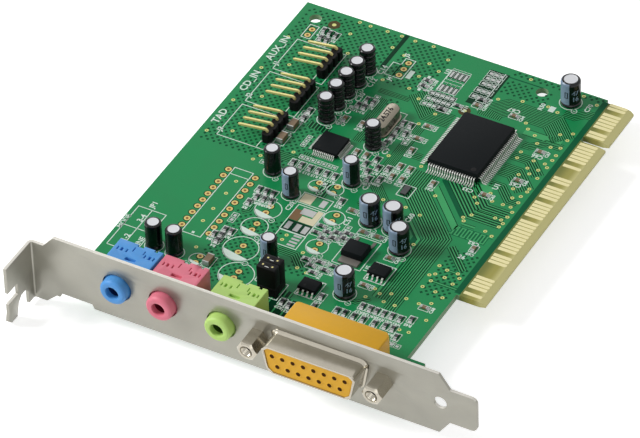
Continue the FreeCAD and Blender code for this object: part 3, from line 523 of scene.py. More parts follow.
def add_camera():
    """A camera that sees the card as the photo shows it."""
    data = bpy.data.cameras.new("camera")
    data.sensor_fit, data.sensor_width = "HORIZONTAL", SENSOR_WIDTH
    data.lens = FOCAL_PIXELS / IMAGE_WIDTH * data.sensor_width
    data.clip_start, data.clip_end = CLIP_NEAR, CLIP_FAR
    camera = placed("camera", data)
    right, up, back = Vector(RIGHT), -Vector(DOWN), -Vector(AHEAD)
    turn = Matrix((right, up, back)).transposed().to_4x4()
    camera.matrix_world = Matrix.Translation(ORIGIN + Vector(EYE) * MM) @ turn
    bpy.context.scene.camera = camera


def soft_lamp(name, place, size, power):
    """A round lamp that faces the frame's origin."""
    lamp = bpy.data.lights.new(name, "AREA")
    lamp.shape, lamp.size, lamp.energy = "DISK", size, power
    holder = placed(name, lamp)
    holder.location = place
    holder.rotation_euler = (-Vector(place)).to_track_quat("-Z", "Y").to_euler()


def seen_directly(tree):
    """1 where the camera, a mirror or clear glass looks at the surface, and 0 where it only lights others."""
    rays = tree.nodes.new("ShaderNodeLightPath").outputs
    mirrored = maths(tree, "MAXIMUM", rays["Is Glossy Ray"], rays["Is Transmission Ray"])
    return maths(tree, "MAXIMUM", rays["Is Camera Ray"], mirrored)


def add_floor():
    """A pale floor that keeps the shadow, and looks white to the camera."""
    mesh = bpy.data.meshes.new("floor")
    mesh.from_pydata([(x * FLOOR_HALF, y * FLOOR_HALF, 0) for x, y in SQUARE], [], [(0, 1, 2, 3)])
    floor = placed("floor", mesh)
    material, tree, shader = new_material("pale_floor")
    shader.inputs["Base Color"].default_value = (FLOOR_PALE, FLOOR_PALE, FLOOR_PALE, 1)
    shader.inputs["Roughness"].default_value = FLOOR_ROUGH
    glow = add(tree, "ShaderNodeEmission", Strength=FLOOR_GLOW)
    both = tree.nodes.new("ShaderNodeAddShader")
    tree.links.new(shader.outputs[0], both.inputs[0])
    tree.links.new(glow.outputs[0], both.inputs[1])
    pick = add(tree, "ShaderNodeMixShader", Fac=seen_directly(tree))
    tree.links.new(shader.outputs[0], pick.inputs[1])
    tree.links.new(both.outputs[0], pick.inputs[2])
    tree.links.new(pick.outputs[0], tree.nodes["Material Output"].inputs["Surface"])
    mesh.materials.append(material)


def add_studio():
    """Even light from all round, the lamps and the floor."""
    world = bpy.data.worlds.new("studio")
    bpy.context.scene.world = world
    world.use_nodes = True
    tree = world.node_tree
    sky = tree.nodes["Background"]
    sky.inputs["Color"].default_value = (1, 1, 1, 1)
    strength = add(tree, "ShaderNodeMapRange", Value=seen_directly(tree))
    strength.inputs["To Min"].default_value = SKY_LIGHT
    strength.inputs["To Max"].default_value = 1.0
    tree.links.new(strength.outputs["Result"], sky.inputs["Strength"])
    for name, place, size, power in LAMPS:
        soft_lamp(name, place, size, power)
    add_floor()
    bpy.context.scene.view_settings.view_transform = "Standard"


# Solids that keep their own shape

FINE_EDGE, SHEET_EDGE, REGULATOR_EDGE, CAP_EDGE, SHROUD_EDGE = 0.12, 0.14, 0.15, 0.2, 0.35

# A face of the bracket that looks up by more than this takes a lighter finish, a painted highlight along its
# top edges
HIGHLIGHT_SLOPE = 0.6

# A notch in the rear edge of a jack and the two legs of its latch, from the middle of the rear edge
JACK_CUTS = [
    ((3.7, -0.75, -3.0), (4.6, 0.5, 0.5)),
    ((-1.15, -2.9, -0.5), (-0.85, -1.3, 0.5)),
    ((1.7, -2.9, -0.3), (2.0, -1.5, 0.5)),
]


def finish_solids():
    """Finishes for the solids that keep the shape they have in the frame, or only get rounder edges."""
    paint("circuit_board", "mask")
    for chip in CHIPS:
        softened(f"{chip}_chip_body", "epoxy", FINE_EDGE)
    bracket = softened("mounting_bracket", "steel", SHEET_EDGE)
    # Faces that look up get the lighter steel, as a painted highlight
    bracket.data.materials.append(FINISH["painted_highlight"])
    for face in bracket.data.polygons:
        if face.normal.z > HIGHLIGHT_SLOPE:
            face.material_index = 1
    for jack in JACKS:
        low, high = layout_box(f"{jack}_jack_housing")
        rear = Vector(((low.x + high.x) / 2, high.y, high.z))
        cuts = [(rear + Vector(start), rear + Vector(end)) for start, end in JACK_CUTS]
        softened(f"{jack}_jack_housing", jack, FINE_EDGE, cuts)
        paint(f"{jack}_jack_terminals", "tin")
    softened("game_port_shroud", "orange", SHROUD_EDGE)
    paint("game_port_shell", "nickel")
    paint("game_port_contacts", "pin")
    softened("jumper_base", "black", FINE_EDGE)
    paint("jumper_pins", "pin")
    softened("front_jumper_cap", "black", CAP_EDGE)
    softened("rear_jumper_cap", "black", CAP_EDGE)
    make_jumper_tops()
    softened("regulator_body", "epoxy", REGULATOR_EDGE)
    paint("regulator_lead_frame", "dull_tin")
    paint("resistor_network", "resistor")
    softened("crystal_can", "crystal", FINE_EDGE)


# Electrolytic capacitors

# The sleeve's edge is a share of the radius, and the levels of marks and numbers are shares of the height.
# Turns are in degrees.
SLEEVE_EDGE, SIDE_FROM, TOP_SUNK, CAN_STEPS = 0.28, 1.2, 0.13, 40
SLEEVE_WAVES, SLEEVE_WAVE, WAVE_STEPS = 4, 0.2, 6
RIBBED_BEHIND, PLAIN_LEFT_OF = 78.0, 34.0
STRIPE_FROM, STRIPE_TO = 160.0, 292.0
MARK_FROM, MARK_TO, MARK_LOW, MARK_HIGH = 260.0, 280.0, 0.42, 0.66
MARK_THIN, MARK_NARROW, MARK_PROUD, MARK_STEPS = 0.18, 5.0, 0.015, 4
CAN_NUMBERS = [("47", 0.62), ("16", 0.38)]
NUMBER_ANGLE, NUMBER_HEIGHT, NUMBER_PROUD = 323.0, 1.3, 0.02


def curved_patch(shape, centre, radius, start, end, low, high):
    """A small patch that follows the side of a can."""
    bend = arc(centre.x, centre.y, radius, start, end, MARK_STEPS)
    count = len(bend)
    points = [(x, y, low) for x, y in bend] + [(x, y, high) for x, y in bend]
    shape.add(points, [(k, k + 1, count + k + 1, count + k) for k in range(MARK_STEPS)])


def can_mark(shape, centre, radius, top):
    """The outlined minus sign on the stripe of a can."""
    low, high = top * MARK_LOW, top * MARK_HIGH
    curved_patch(shape, centre, radius, MARK_FROM, MARK_TO, low, low + MARK_THIN)
    curved_patch(shape, centre, radius, MARK_FROM, MARK_TO, high - MARK_THIN, high)
    curved_patch(shape, centre, radius, MARK_FROM, MARK_FROM + MARK_NARROW, low, high)
    curved_patch(shape, centre, radius, MARK_TO - MARK_NARROW, MARK_TO, low, high)


def can_number(shape, text, centre, radius, level):
    """Lettering bent round the side of a can."""
    line = Shape()
    letters(line, text, 0, 0, 0, NUMBER_HEIGHT)
    points = []
    for point in line.points:
        turn = math.radians(NUMBER_ANGLE) + point.x / radius
        across, deep = radius * math.cos(turn), radius * math.sin(turn)
        points.append((centre.x + across, centre.y + deep, level + point.y))
    shape.add(points, line.faces)


def make_can_numbers():
    """Plain values on the sides of the wide cans."""
    shape = Shape()
    for low, high in loose_parts("wide_capacitors"):
        middle, radius = (low + high) / 2, (high.x - low.x) / 2 + NUMBER_PROUD
        for text, share in CAN_NUMBERS:
            can_number(shape, text, middle, radius, high.z * share)
    show(shape.mesh("can_numbers", ["stripe"]))


def ribbed_side(radius, low, high):
    """The side of a can whose sleeve has shrunk into shallow waves."""
    count = WAVE_STEPS * SLEEVE_WAVES
    places = [low + (high - low) * k / count for k in range(count + 1)]
    return [(radius - SLEEVE_WAVE * (1 - math.cos(2 * math.pi * SLEEVE_WAVES * k / count)) / 2, z)
            for k, z in enumerate(places)]


def make_capacitors():
    """Turned cans with a black sleeve, a bare top and, on some, a stripe with its mark."""
    shape = Shape()
    for node in CANS:
        for low, high in loose_parts(node):
            middle = (low + high) / 2
            radius, top = (high.x - low.x) / 2, high.z
            ribbed = middle.y > RIBBED_BEHIND and node == "slim_capacitors"
            plain_sleeve = ribbed or middle.x < PLAIN_LEFT_OF
            wall = 0 if plain_sleeve else (lambda angle: 1 if STRIPE_FROM < angle < STRIPE_TO else 0)
            edge = SLEEVE_EDGE * radius
            foot = [(0.0, 0.05), (radius - 0.2, 0.05), (radius, 0.3), (radius, 0.7), (radius - 0.18, 0.95)]
            side = [(radius, SIDE_FROM), (radius, top - edge)]
            if ribbed:
                side = ribbed_side(radius, SIDE_FROM, top - edge)
            lip = [
                (radius - edge * 0.13, top - edge * 0.5), (radius - edge * 0.45, top - edge * 0.16),
                (radius - edge * 0.85, top), (radius - edge * 1.1, top - 0.04),
                (radius - edge * 1.2, top - TOP_SUNK), (0.0, top - TOP_SUNK),
            ]
            kinds = [0] * len(foot) + [wall] * (len(side) + 1) + [0, 0, 2, 2]
            lathe(shape, foot + side + lip, (middle.x, middle.y, 0), CAN_STEPS, kinds=kinds)
            if not plain_sleeve:
                can_mark(shape, middle, radius + MARK_PROUD, top)
    mesh = shape.mesh("capacitor_cans", ["sleeve", "stripe", "can_top"], smooth=40)
    show(mesh, replaced=CANS)


# Chip parts with metal ends

CHIP_NODES = {"chip_resistors": "resistor", "chip_capacitors": "ceramic", "ceramic_capacitors": "ceramic"}

# Middles of further chip resistors that lie along Y, and of those along X
MORE_UPRIGHT = [
    (40.4, 93.6), (42.2, 93.4), (52.4, 86.8), (52.2, 81.4), (54.8, 86.6), (51.6, 72.2), (55.0, 72.2),
    (54.8, 67.6), (33.8, 49.4), (35.8, 49.4), (37.8, 49.5), (31.3, 32.9), (33.0, 33.3), (48.6, 68.6),
    (57.4, 73.0), (57.4, 68.6), (17.8, 112.5), (19.6, 112.1), (21.4, 111.9), (18.4, 109.6), (20.2, 109.4),
    (79.4, 26.3), (81.4, 26.3), (79.4, 18.6), (87.8, 20.4), (63.0, 19.4), (65.3, 21.0),
]
MORE_LEVEL = [
    (55.4, 45.6), (55.4, 43.2), (60.0, 45.4), (60.0, 47.4), (55.6, 34.8), (59.0, 35.2), (59.2, 31.2),
    (62.8, 35.4), (50.2, 106.8), (50.2, 104.6), (65.6, 106.4), (61.4, 101.6),
]
SMALL_CHIP, CHIP_GAP, TALL_CHIP = (1.6, 0.8, 0.5), 0.05, 1.0
END_LENGTH, END_PROUD, BODY_SHORT = 0.3, 0.02, 0.5
FILLET_IN, FILLET_OUT, FILLET_LEVEL = 0.12, 0.42, 0.02
FILLET_SPREAD, FILLET_RISE = 0.1, 0.6


def chip_boxes():
    """Every small chip part as (finish, low, high): those that have solids, and the rest of the same size."""
    boxes = [(finish, low, high) for node, finish in CHIP_NODES.items() for low, high in loose_parts(node)]
    length, width, tall = SMALL_CHIP
    for places, across, deep in ((MORE_UPRIGHT, width / 2, length / 2), (MORE_LEVEL, length / 2, width / 2)):
        for x, y in places:
            low = Vector((x - across, y - deep, CHIP_GAP))
            boxes.append(("resistor", low, Vector((x + across, y + deep, tall))))
    return boxes


def make_chip_parts():
    """Bodies, metal ends and solder fillets of the small chip parts."""
    body, ends = Shape(), Shape()
    finishes = ["resistor", "ceramic"]
    for finish, low, high in chip_boxes():
        middle, size = (low + high) / 2, high - low
        along = Vector((0, 1, 0)) if size.y > size.x else Vector((1, 0, 0))
        aside = Vector((along.y, along.x, 0))
        length, width = max(size.x, size.y), min(size.x, size.y)
        box(body, middle, size - along * BODY_SHORT, finishes.index(finish))
        end_size = along * END_LENGTH + aside * (width + 2 * END_PROUD) + Vector((0, 0, size.z + END_PROUD))
        for out in (-along, along):
            centre = middle + out * (length / 2 + END_PROUD - END_LENGTH / 2) + Vector((0, 0, END_PROUD / 2))
            box(ends, centre, end_size)
            if size.z < TALL_CHIP:
                foot = middle + out * (length / 2 + FILLET_IN)
                wedge(ends, foot, out, width + FILLET_SPREAD, size.z * FILLET_RISE)
    show(body.mesh("chip_part_bodies", finishes), replaced=list(CHIP_NODES))
    show(ends.mesh("chip_part_ends", ["solder"]))


def wedge(shape, start, out, width, height):
    """A sloping fillet of solder against the end of a part."""
    side = Vector((-out.y, out.x, 0)) * (width / 2)
    base = Vector((start.x, start.y, FILLET_LEVEL))
    inner, outer = base - out * FILLET_IN, base + out * FILLET_OUT
    top = inner + Vector((0, 0, height))
    points = [inner - side, outer - side, outer + side, inner + side, top - side, top + side]
    shape.add(points, [(3, 2, 1, 0), (1, 2, 5, 4), (0, 1, 4), (2, 3, 5), (0, 4, 5, 3)])


# Copies made with Geometry Nodes

def growing_tree(name, inputs):
    """An empty Geometry Nodes tree with named inputs: (name, kind)."""
    tree = bpy.data.node_groups.new(name, "GeometryNodeTree")
    for title, kind in inputs:
        tree.interface.new_socket(title, in_out="INPUT", socket_type=f"NodeSocket{kind}")
    tree.interface.new_socket("Geometry", in_out="OUTPUT", socket_type="NodeSocketGeometry")
    return tree, tree.nodes.new("NodeGroupInput").outputs, tree.nodes.new("NodeGroupOutput").inputs


def end_tree(tree, copies, finish, result):
    """The copies become plain faces with one finish, and leave the tree."""
    whole = add(tree, "GeometryNodeRealizeInstances", Geometry=copies.outputs["Instances"])
    ready = add(tree, "GeometryNodeSetMaterial", Geometry=whole.outputs["Geometry"], Material=finish)
    tree.links.new(ready.outputs["Geometry"], result["Geometry"])


def copies_tree():
    """Puts a small piece on every point of a cloud, turned about Z by the point's own angle."""
    wanted = [("Geometry", "Geometry"), ("Piece", "Object"), ("Finish", "Material")]
    tree, given, result = growing_tree("copies_on_points", wanted)
    piece = add(tree, "GeometryNodeObjectInfo", Object=given["Piece"])
    angle = add(tree, "GeometryNodeInputNamedAttribute", data_type="FLOAT", Name="turn")
    turn = add(tree, "ShaderNodeCombineXYZ", Z=angle.outputs["Attribute"])
    copies = add(tree, "GeometryNodeInstanceOnPoints", Points=given["Geometry"],
                 Instance=piece.outputs["Geometry"], Rotation=turn.outputs[0])
    end_tree(tree, copies, given["Finish"], result)
    return tree


def field_tree():
    """Two grids of small diamonds, the second set between the first: the open squares of a copper mesh."""
    wanted = [("Width", "Float"), ("Depth", "Float"), ("Columns", "Int"), ("Rows", "Int"), ("Pitch", "Float"),
              ("Radius", "Float"), ("Finish", "Material")]
    tree, given, result = growing_tree("staggered_field", wanted)
    sides = {"Size X": "Width", "Size Y": "Depth", "Vertices X": "Columns", "Vertices Y": "Rows"}
    grid = add(tree, "GeometryNodeMeshGrid", **{side: given[source] for side, source in sides.items()})
    half = maths(tree, "MULTIPLY", given["Pitch"], 0.5)
    step = add(tree, "ShaderNodeCombineXYZ", X=half, Y=half)
    between = add(tree, "GeometryNodeTransform", Geometry=grid.outputs["Mesh"], Translation=step.outputs[0])
    both = tree.nodes.new("GeometryNodeJoinGeometry")
    tree.links.new(grid.outputs["Mesh"], both.inputs["Geometry"])
    tree.links.new(between.outputs["Geometry"], both.inputs["Geometry"])
    diamond = add(tree, "GeometryNodeMeshCircle", fill_type="NGON", Vertices=4, Radius=given["Radius"])
    copies = add(tree, "GeometryNodeInstanceOnPoints", Points=both.outputs["Geometry"],
                 Instance=diamond.outputs["Mesh"])
    end_tree(tree, copies, given["Finish"], result)
    return tree


def grown(name, base, tree, **values):
    """The plain mesh that a Geometry Nodes tree makes from a base mesh and named inputs."""
    carrier = placed(name, base)
    modifier = carrier.modifiers.new("grow", "NODES")
    modifier.node_group = tree
    for item in tree.interface.items_tree:
        if item.in_out == "INPUT" and item.name in values:
            modifier[item.identifier] = values[item.name]
    mesh = evaluated(carrier)
    mesh.name = name
    return mesh


COPIES, FIELD = copies_tree(), field_tree()


def cloud(places, level):
    """Points at (X, Y) or (X, Y, turn in degrees)."""
    mesh = bpy.data.meshes.new("cloud")
    mesh.from_pydata([ORIGIN + Vector((place[0], place[1], level)) * MM for place in places], [], [])
    angle = mesh.attributes.new("turn", "FLOAT", "POINT")
    for value, place in zip(angle.data, places):
        value.value = math.radians(place[2]) if len(place) > 2 else 0.0
    return mesh


def copy_on(name, shape, places, finish, level=0.0, smooth=0.0, replaced=()):
    """One piece made of a small shape, drawn about the layout's origin, copied to many places."""
    pattern = shape.mesh(f"{name}_pattern", [finish], smooth)
    pattern.transform(Matrix.Translation(-ORIGIN))
    single = bpy.data.objects.new(pattern.name, pattern)
    mesh = grown(name, cloud(places, level), COPIES, Piece=single, Finish=FINISH[finish])
    bpy.data.objects.remove(single)
    show(mesh, replaced)


def under(shape):
    """The same thin layer on the solder side of the board."""
    turned = Shape()
    turned.points = [Vector((p.x, p.y, -BOARD_THICK - p.z)) for p in shape.points]
    turned.faces = [list(reversed(face)) for face in shape.faces]
    turned.kinds = list(shape.kinds)
    return turned


# Copper under the mask: meshed planes, bare gaps and bundles of tracks

MESH_PITCH, VOID_RADIUS = 1.778, 0.45
MESH_FIELDS = [
    (9.4, 61, 36.6, 119.6), (38.4, 100.2, 51.8, 119.6), (67, 110, 80.4, 116.8), (67, 118, 93, 119.8),
    (84, 35.6, 92.4, 54.6), (30.6, 17, 46, 44), (45.9, 78.8, 49.6, 84.4), (51.8, 27.4, 57.6, 36),
    (43.2, 92, 47.8, 97),
]
TOOLING_HOLES, TOOLING_CLEAR = [(13.5, 115.7), (77.5, 115.9)], 2.1
BARE_PATCHES = [
    (36.8, 106.5, 38.0, 120.3), (44.5, 42.1, 51.3, 45.9),
    (52.6, 97.2, 60, 104.4), (62.2, 104, 67.6, 118), (53.7, 110.5, 58.7, 113.3), (53.7, 105, 58.7, 107.6),
]
DEEP_BANDS = [
    ([(71.4, 75.9), (82, 65.3)], 1.5), ([(69.4, 59.8), (75, 54.2), (75, 44)], 1.3),
    ([(93.4, 40.6), (93.4, 119.6)], 1.6), ([(66.6, 109), (66.6, 117.4), (77, 117.4)], 0.4),
]

# Each bundle: its first track's corners, how many tracks it has, their pitch to the left, and their width
BUNDLES = [
    ([(63.4, 76), (63.4, 68.3), (77.2, 54.5), (77.2, 30.5)], 10, 0.65, 0.3),
    ([(72.6, 75.9), (82.6, 65.9), (91.3, 65.9)], 9, 0.8, 0.34),
    ([(81.8, 78.8), (84.6, 78.8), (88.6, 74.8), (91.3, 74.8)], 4, 0.62, 0.26),
    ([(81.8, 83.6), (84.8, 83.6), (89.2, 79.2)], 8, 0.6, 0.26),
    ([(81.8, 90.2), (86.2, 90.2), (90.2, 86.2)], 5, 0.62, 0.26),
    ([(82.2, 95.2), (84.6, 95.2), (87.6, 98.2), (91.6, 98.2)], 4, 0.6, 0.26),
    ([(67.2, 101.4), (67.2, 105.2), (71.6, 109.6), (86.4, 109.6), (92.4, 103.6)], 11, -0.55, 0.26),
    ([(48.8, 100.2), (55.5, 93.5), (62.6, 93.5)], 9, 0.55, 0.24),
    ([(55.6, 91), (55.6, 66.6), (61.6, 60.6)], 6, 0.45, 0.2),
    ([(58.8, 79.5), (62.6, 79.5)], 4, 0.6, 0.24),
    ([(44.6, 78.6), (44.6, 82.4), (43.2, 83.8), (43.2, 96)], 4, -0.5, 0.2),
    ([(37.4, 77.9), (37.4, 80.4)], 7, 0.9, 0.22),
    ([(41, 98.9), (49.6, 98.9)], 3, -0.5, 0.2),
    ([(84.8, 55.2), (91.4, 48.6)], 3, -0.7, 0.3),
    ([(85.7, 41.7), (92.6, 41.7)], 1, 0.5, 0.4),
    ([(87.4, 46.8), (90.3, 46.8)], 1, 0.5, 0.4),
    ([(69.2, 13), (69.2, 20.6)], 8, 2.4, 0.4),
    ([(48.2, 55.8), (48.2, 62)], 4, 0.8, 0.3),
    ([(30.5, 66.8), (35, 66.8), (36.6, 68.4), (36.6, 69.6)], 5, -0.6, 0.24),
    ([(58.4, 20.8), (58.4, 23)], 5, 1.3, 0.4),
    ([(86, 112.4), (88.4, 112.4), (90.4, 114.4), (92.8, 114.4)], 5, -0.6, 0.26),
    ([(47.5, 36), (52.6, 36), (56.4, 32.2)], 4, -0.6, 0.24),
    ([(32.6, 28.6), (34.6, 30.6), (34.6, 36.4)], 2, 0.7, 0.26),
    ([(33.4, 42.6), (34.8, 44), (34.8, 47.6)], 2, 0.6, 0.24),
    ([(57.4, 57.6), (58.6, 58.8), (58.6, 62.4)], 3, 0.6, 0.24),
    ([(70.6, 26.4), (73.4, 26.4), (76.2, 29.2)], 2, 0.7, 0.3),
    ([(80.45, 30.5), (80.45, 27.9)], 5, 0.65, 0.3),
]
WIDE_TRACKS = [
    ([(70.6, 72.4), (82.2, 60.8)], 1.7), ([(76.2, 30.5), (76.2, 53.4), (70.8, 58.8)], 0.7),
    ([(83.4, 68.9), (91, 68.9)], 1.2), ([(82.6, 63.3), (86.2, 63.3)], 0.6),
    ([(80.4, 100.6), (90.6, 100.6)], 2.0),
]
SERPENTINE = {"start": 82.0, "end": 91.4, "low": 59.0, "high": 61.9, "pitch": 0.86}
SERPENTINE_TAIL, SERPENTINE_GAP, SERPENTINE_WIDTH = 0.6, 0.8, 0.38
FIDUCIALS, FIDUCIAL_CLEAR, FIDUCIAL_DOT = [(18.9, 115.6), (63.7, 100.8)], 1.6, 0.55
ROUND_LAND = (81.5, 77.4, 2.3)
BUNDLE_MARGIN, TRACK_MARGIN = 0.45, 0.4
TRACK_FINISHES = ["bare_mask", "track", "fiducial", "ring", "deep_mask"]
BARE, TRACK, FIDUCIAL, DOT, DEEP = range(len(TRACK_FINISHES))
UNDER_BUNDLES = [
    ([(20, 30), (20, 58), (34, 72), (34, 96)], 9, 1.1, 0.3),
    ([(46, 30), (46, 70), (58, 82), (58, 112)], 12, 0.9, 0.28),
    ([(92.8, 44), (80, 44), (70, 54), (70, 78)], 12, -0.8, 0.28),
    ([(92.8, 72), (84, 72), (76, 80), (76, 98)], 9, -0.8, 0.28),
    ([(92.8, 96), (86, 96), (80, 102), (64, 102)], 8, 0.8, 0.28),
]


def lay_bundles(bundles):
    """Tracks in mask green over a darker strip of bare board."""
    shape = Shape()
    for corners, count, pitch, width in bundles:
        line = [Vector(corner) for corner in corners]
        spread = pitch * (count - 1)
        ribbon(shape, mitred(line, spread / 2), abs(spread) + width + BUNDLE_MARGIN, BARE_LEVEL, BARE)
        for k in range(count):
            ribbon(shape, mitred(line, pitch * k), width, TRACK_LEVEL, TRACK)
    return shape


def meander(start, end, low, high, pitch):
    """A track that runs to and fro along X."""
    line, x, up = [(start - SERPENTINE_TAIL, low)], start, True
    while x < end:
        line += [(x, low if up else high), (x, high if up else low)]
        x, up = x + pitch, not up
    return line + [(end + SERPENTINE_TAIL, line[-1][1])]


def clear_of_holes(point):
    """Whether a point lies well away from the tooling holes."""
    return all(math.dist(point.xy, hole) > TOOLING_CLEAR for hole in TOOLING_HOLES)


def make_tracks():
    """Tracks, bare patches and round marks on the upper side, and tracks on the solder side."""
    shape = lay_bundles(BUNDLES)
    for corners, width in WIDE_TRACKS:
        ribbon(shape, corners, width + TRACK_MARGIN, BARE_LEVEL, BARE)
        ribbon(shape, corners, width, TRACK_LEVEL, TRACK)
    path = meander(**SERPENTINE)
    ribbon(shape, path, SERPENTINE_GAP, BARE_LEVEL, DEEP)
    ribbon(shape, path, SERPENTINE_WIDTH, TRACK_LEVEL, TRACK)
    for patch in BARE_PATCHES:
        panel(shape, *patch, BARE_LEVEL, BARE)
    for line, width in DEEP_BANDS:
        ribbon(shape, line, width, BAND_LEVEL, DEEP)
    for x, y in FIDUCIALS:
        disc(shape, x, y, FIDUCIAL_CLEAR, TRACK_LEVEL, FIDUCIAL)
        disc(shape, x, y, FIDUCIAL_DOT, RING_LEVEL, DOT)
    disc(shape, *ROUND_LAND, TRACK_LEVEL, TRACK)
    show(shape.mesh("tracks", TRACK_FINISHES))
    show(under(lay_bundles(UNDER_BUNDLES)).mesh("solder_side_tracks", ["bare_mask", "track"]))


def make_voids():
    """The open squares in the meshed copper planes, on both sides of the board."""
    voids = Shape()
    for x0, y0, x1, y1 in MESH_FIELDS:
        columns, rows = int((x1 - x0) / MESH_PITCH), int((y1 - y0) / MESH_PITCH)
        field = grown("field", bpy.data.meshes.new("empty"), FIELD, Columns=columns, Rows=rows,
                      Width=(columns - 1) * MESH_PITCH, Depth=(rows - 1) * MESH_PITCH, Pitch=MESH_PITCH,
                      Radius=VOID_RADIUS, Finish=FINISH["void"])
        middle = Vector(((x0 + x1) / 2, (y0 + y1) / 2, VOID_LEVEL))
        for face in field.polygons:
            corners = [middle + field.vertices[k].co for k in face.vertices]
            if clear_of_holes(corners[0]):
                voids.add(corners, [range(len(corners))])
        bpy.data.meshes.remove(field)
    show(voids.mesh("mesh_voids", ["void"]))
    show(under(voids).mesh("solder_side_voids", ["void"]))


# Plated holes

VIAS = [
    (24.2, 119.4), (27.3, 119.3), (32.1, 119.4), (36.2, 119.4), (40.1, 119.2), (45.2, 119.4),
    (24.2, 114.3), (36.2, 114.4), (40.3, 113), (47.4, 113), (50.9, 111.4), (50.9, 116.4), (27.3, 107.3),
    (47.4, 107.5), (40, 102.2), (47.4, 102.3), (51.4, 99.8), (16.4, 96.8), (10.8, 106.2), (10.7, 92.7),
    (16.3, 83), (10.6, 78.6), (16.3, 68.2), (10.5, 65.5), (27, 63.2), (26, 61.2), (33.6, 68), (69, 108.6),
    (72.8, 119), (74.8, 110.6), (81.4, 111.6), (84.4, 110.7), (87.4, 119.2), (91.8, 117.6), (83.4, 100.4),
    (79.3, 103.6), (80.8, 101.8), (88.8, 103.5), (91.4, 102.3), (91.5, 105.2), (88.9, 98.2), (85.3, 98),
    (91.2, 99), (91.5, 96), (91.5, 94), (83.2, 93.4), (83.4, 91), (87.5, 91.8), (90.5, 92), (91.6, 91),
    (87.4, 88.7), (90.1, 89.2), (91.3, 86.4), (88.8, 87), (86.6, 85.6), (91.4, 82), (91.4, 80.8),
    (87.8, 80.3), (90.8, 78.6), (91.3, 76.3), (89.2, 77.2), (83.7, 76.3), (64, 77.5), (55, 77.4),
    (55.9, 91.4), (57.8, 96.5), (82.5, 71.6), (81.9, 65.5), (82.6, 64.4), (83.3, 67.2), (80.9, 73.3),
    (85.4, 73.9), (88.3, 74), (90.4, 74), (91.6, 72.5), (91.4, 70.4), (91.5, 67.8), (91.2, 66.3),
    (88.9, 68.8), (90.5, 68.8), (89, 63.4), (91.2, 62.5), (61.6, 62.4), (67.8, 62.4), (72.2, 61.4),
    (72.2, 69.4), (75.9, 51.3), (87.4, 46.8), (90.3, 46.8), (91.4, 45.5), (85, 47.4), (85.5, 44.3),
    (88.1, 44.2), (84.4, 43.4), (90.9, 43), (85.7, 41.7), (84.9, 39), (88.5, 38.7), (91, 37.6),
    (89.6, 34.6), (87, 33.2), (91.3, 28.8), (89.6, 23.2), (87.2, 23), (75.2, 33.1), (77, 32.1),
    (79.5, 33.3), (83.5, 33.4), (74.5, 29.6), (79.2, 30), (82.2, 30), (53.6, 36.6), (57.8, 30.6),
    (55, 31.2), (29.7, 26.7), (26.4, 52.1), (26.4, 47.1), (26.4, 40.8), (26.4, 35.8), (47.0, 40.4),
    (46.8, 38.5),
]
SOCKET_ROWS = {"left": 22.5, "right": 30.0, "first": 55.2, "pitch": 2.54, "count": 10}
OPEN_HOLES = [(14.8, 111.5), (14.8, 109.1), (42.7, 110.8), (42.7, 108.2), (42.7, 105.7)]

# Printed rings where no can is fitted: middle and radius
CAN_RINGS = [
    (38.5, 46.5, 3.35), (38.6, 39.5, 3.35), (39.6, 31, 4.4), (43.2, 22.4, 4.4), (32.2, 23, 2.15),
    (54.3, 51, 2.65), (55.6, 40, 2.75), (49.5, 60.2, 2.15), (44.8, 59.6, 2.15),
]
CAN_LEADS = 1.25
VIA_RING, VIA_BORE, VIA_STEPS = 0.5, 0.2, 14
HOLE_GAP, HOLE_RING, HOLE_BORE, HOLE_STEPS = 1.06, 0.82, 0.36, 18
GAP_LAP, BORE_LAP = 0.02, 0.01


def ring_shape(outer, inner, steps):
    """A flat ring about the origin; with no inner radius it is a full disc."""
    shape = Shape()
    circle = arc(0, 0, 1, 0, 360, steps)[:-1]
    points = [(outer * x, outer * y, 0) for x, y in circle] + [(inner * x, inner * y, 0) for x, y in circle]
    faces = [(k, (k + 1) % steps, steps + (k + 1) % steps, steps + k) for k in range(steps)]
    shape.add(points, faces)
    return shape


def disc_shape(radius, steps):
    """A flat disc about the origin."""
    shape = Shape()
    disc(shape, 0, 0, radius, 0, steps=steps)
    return shape


def facing_down(shape):
    """A flat pattern turned to face down."""
    shape.faces = [list(reversed(face)) for face in shape.faces]
    return shape


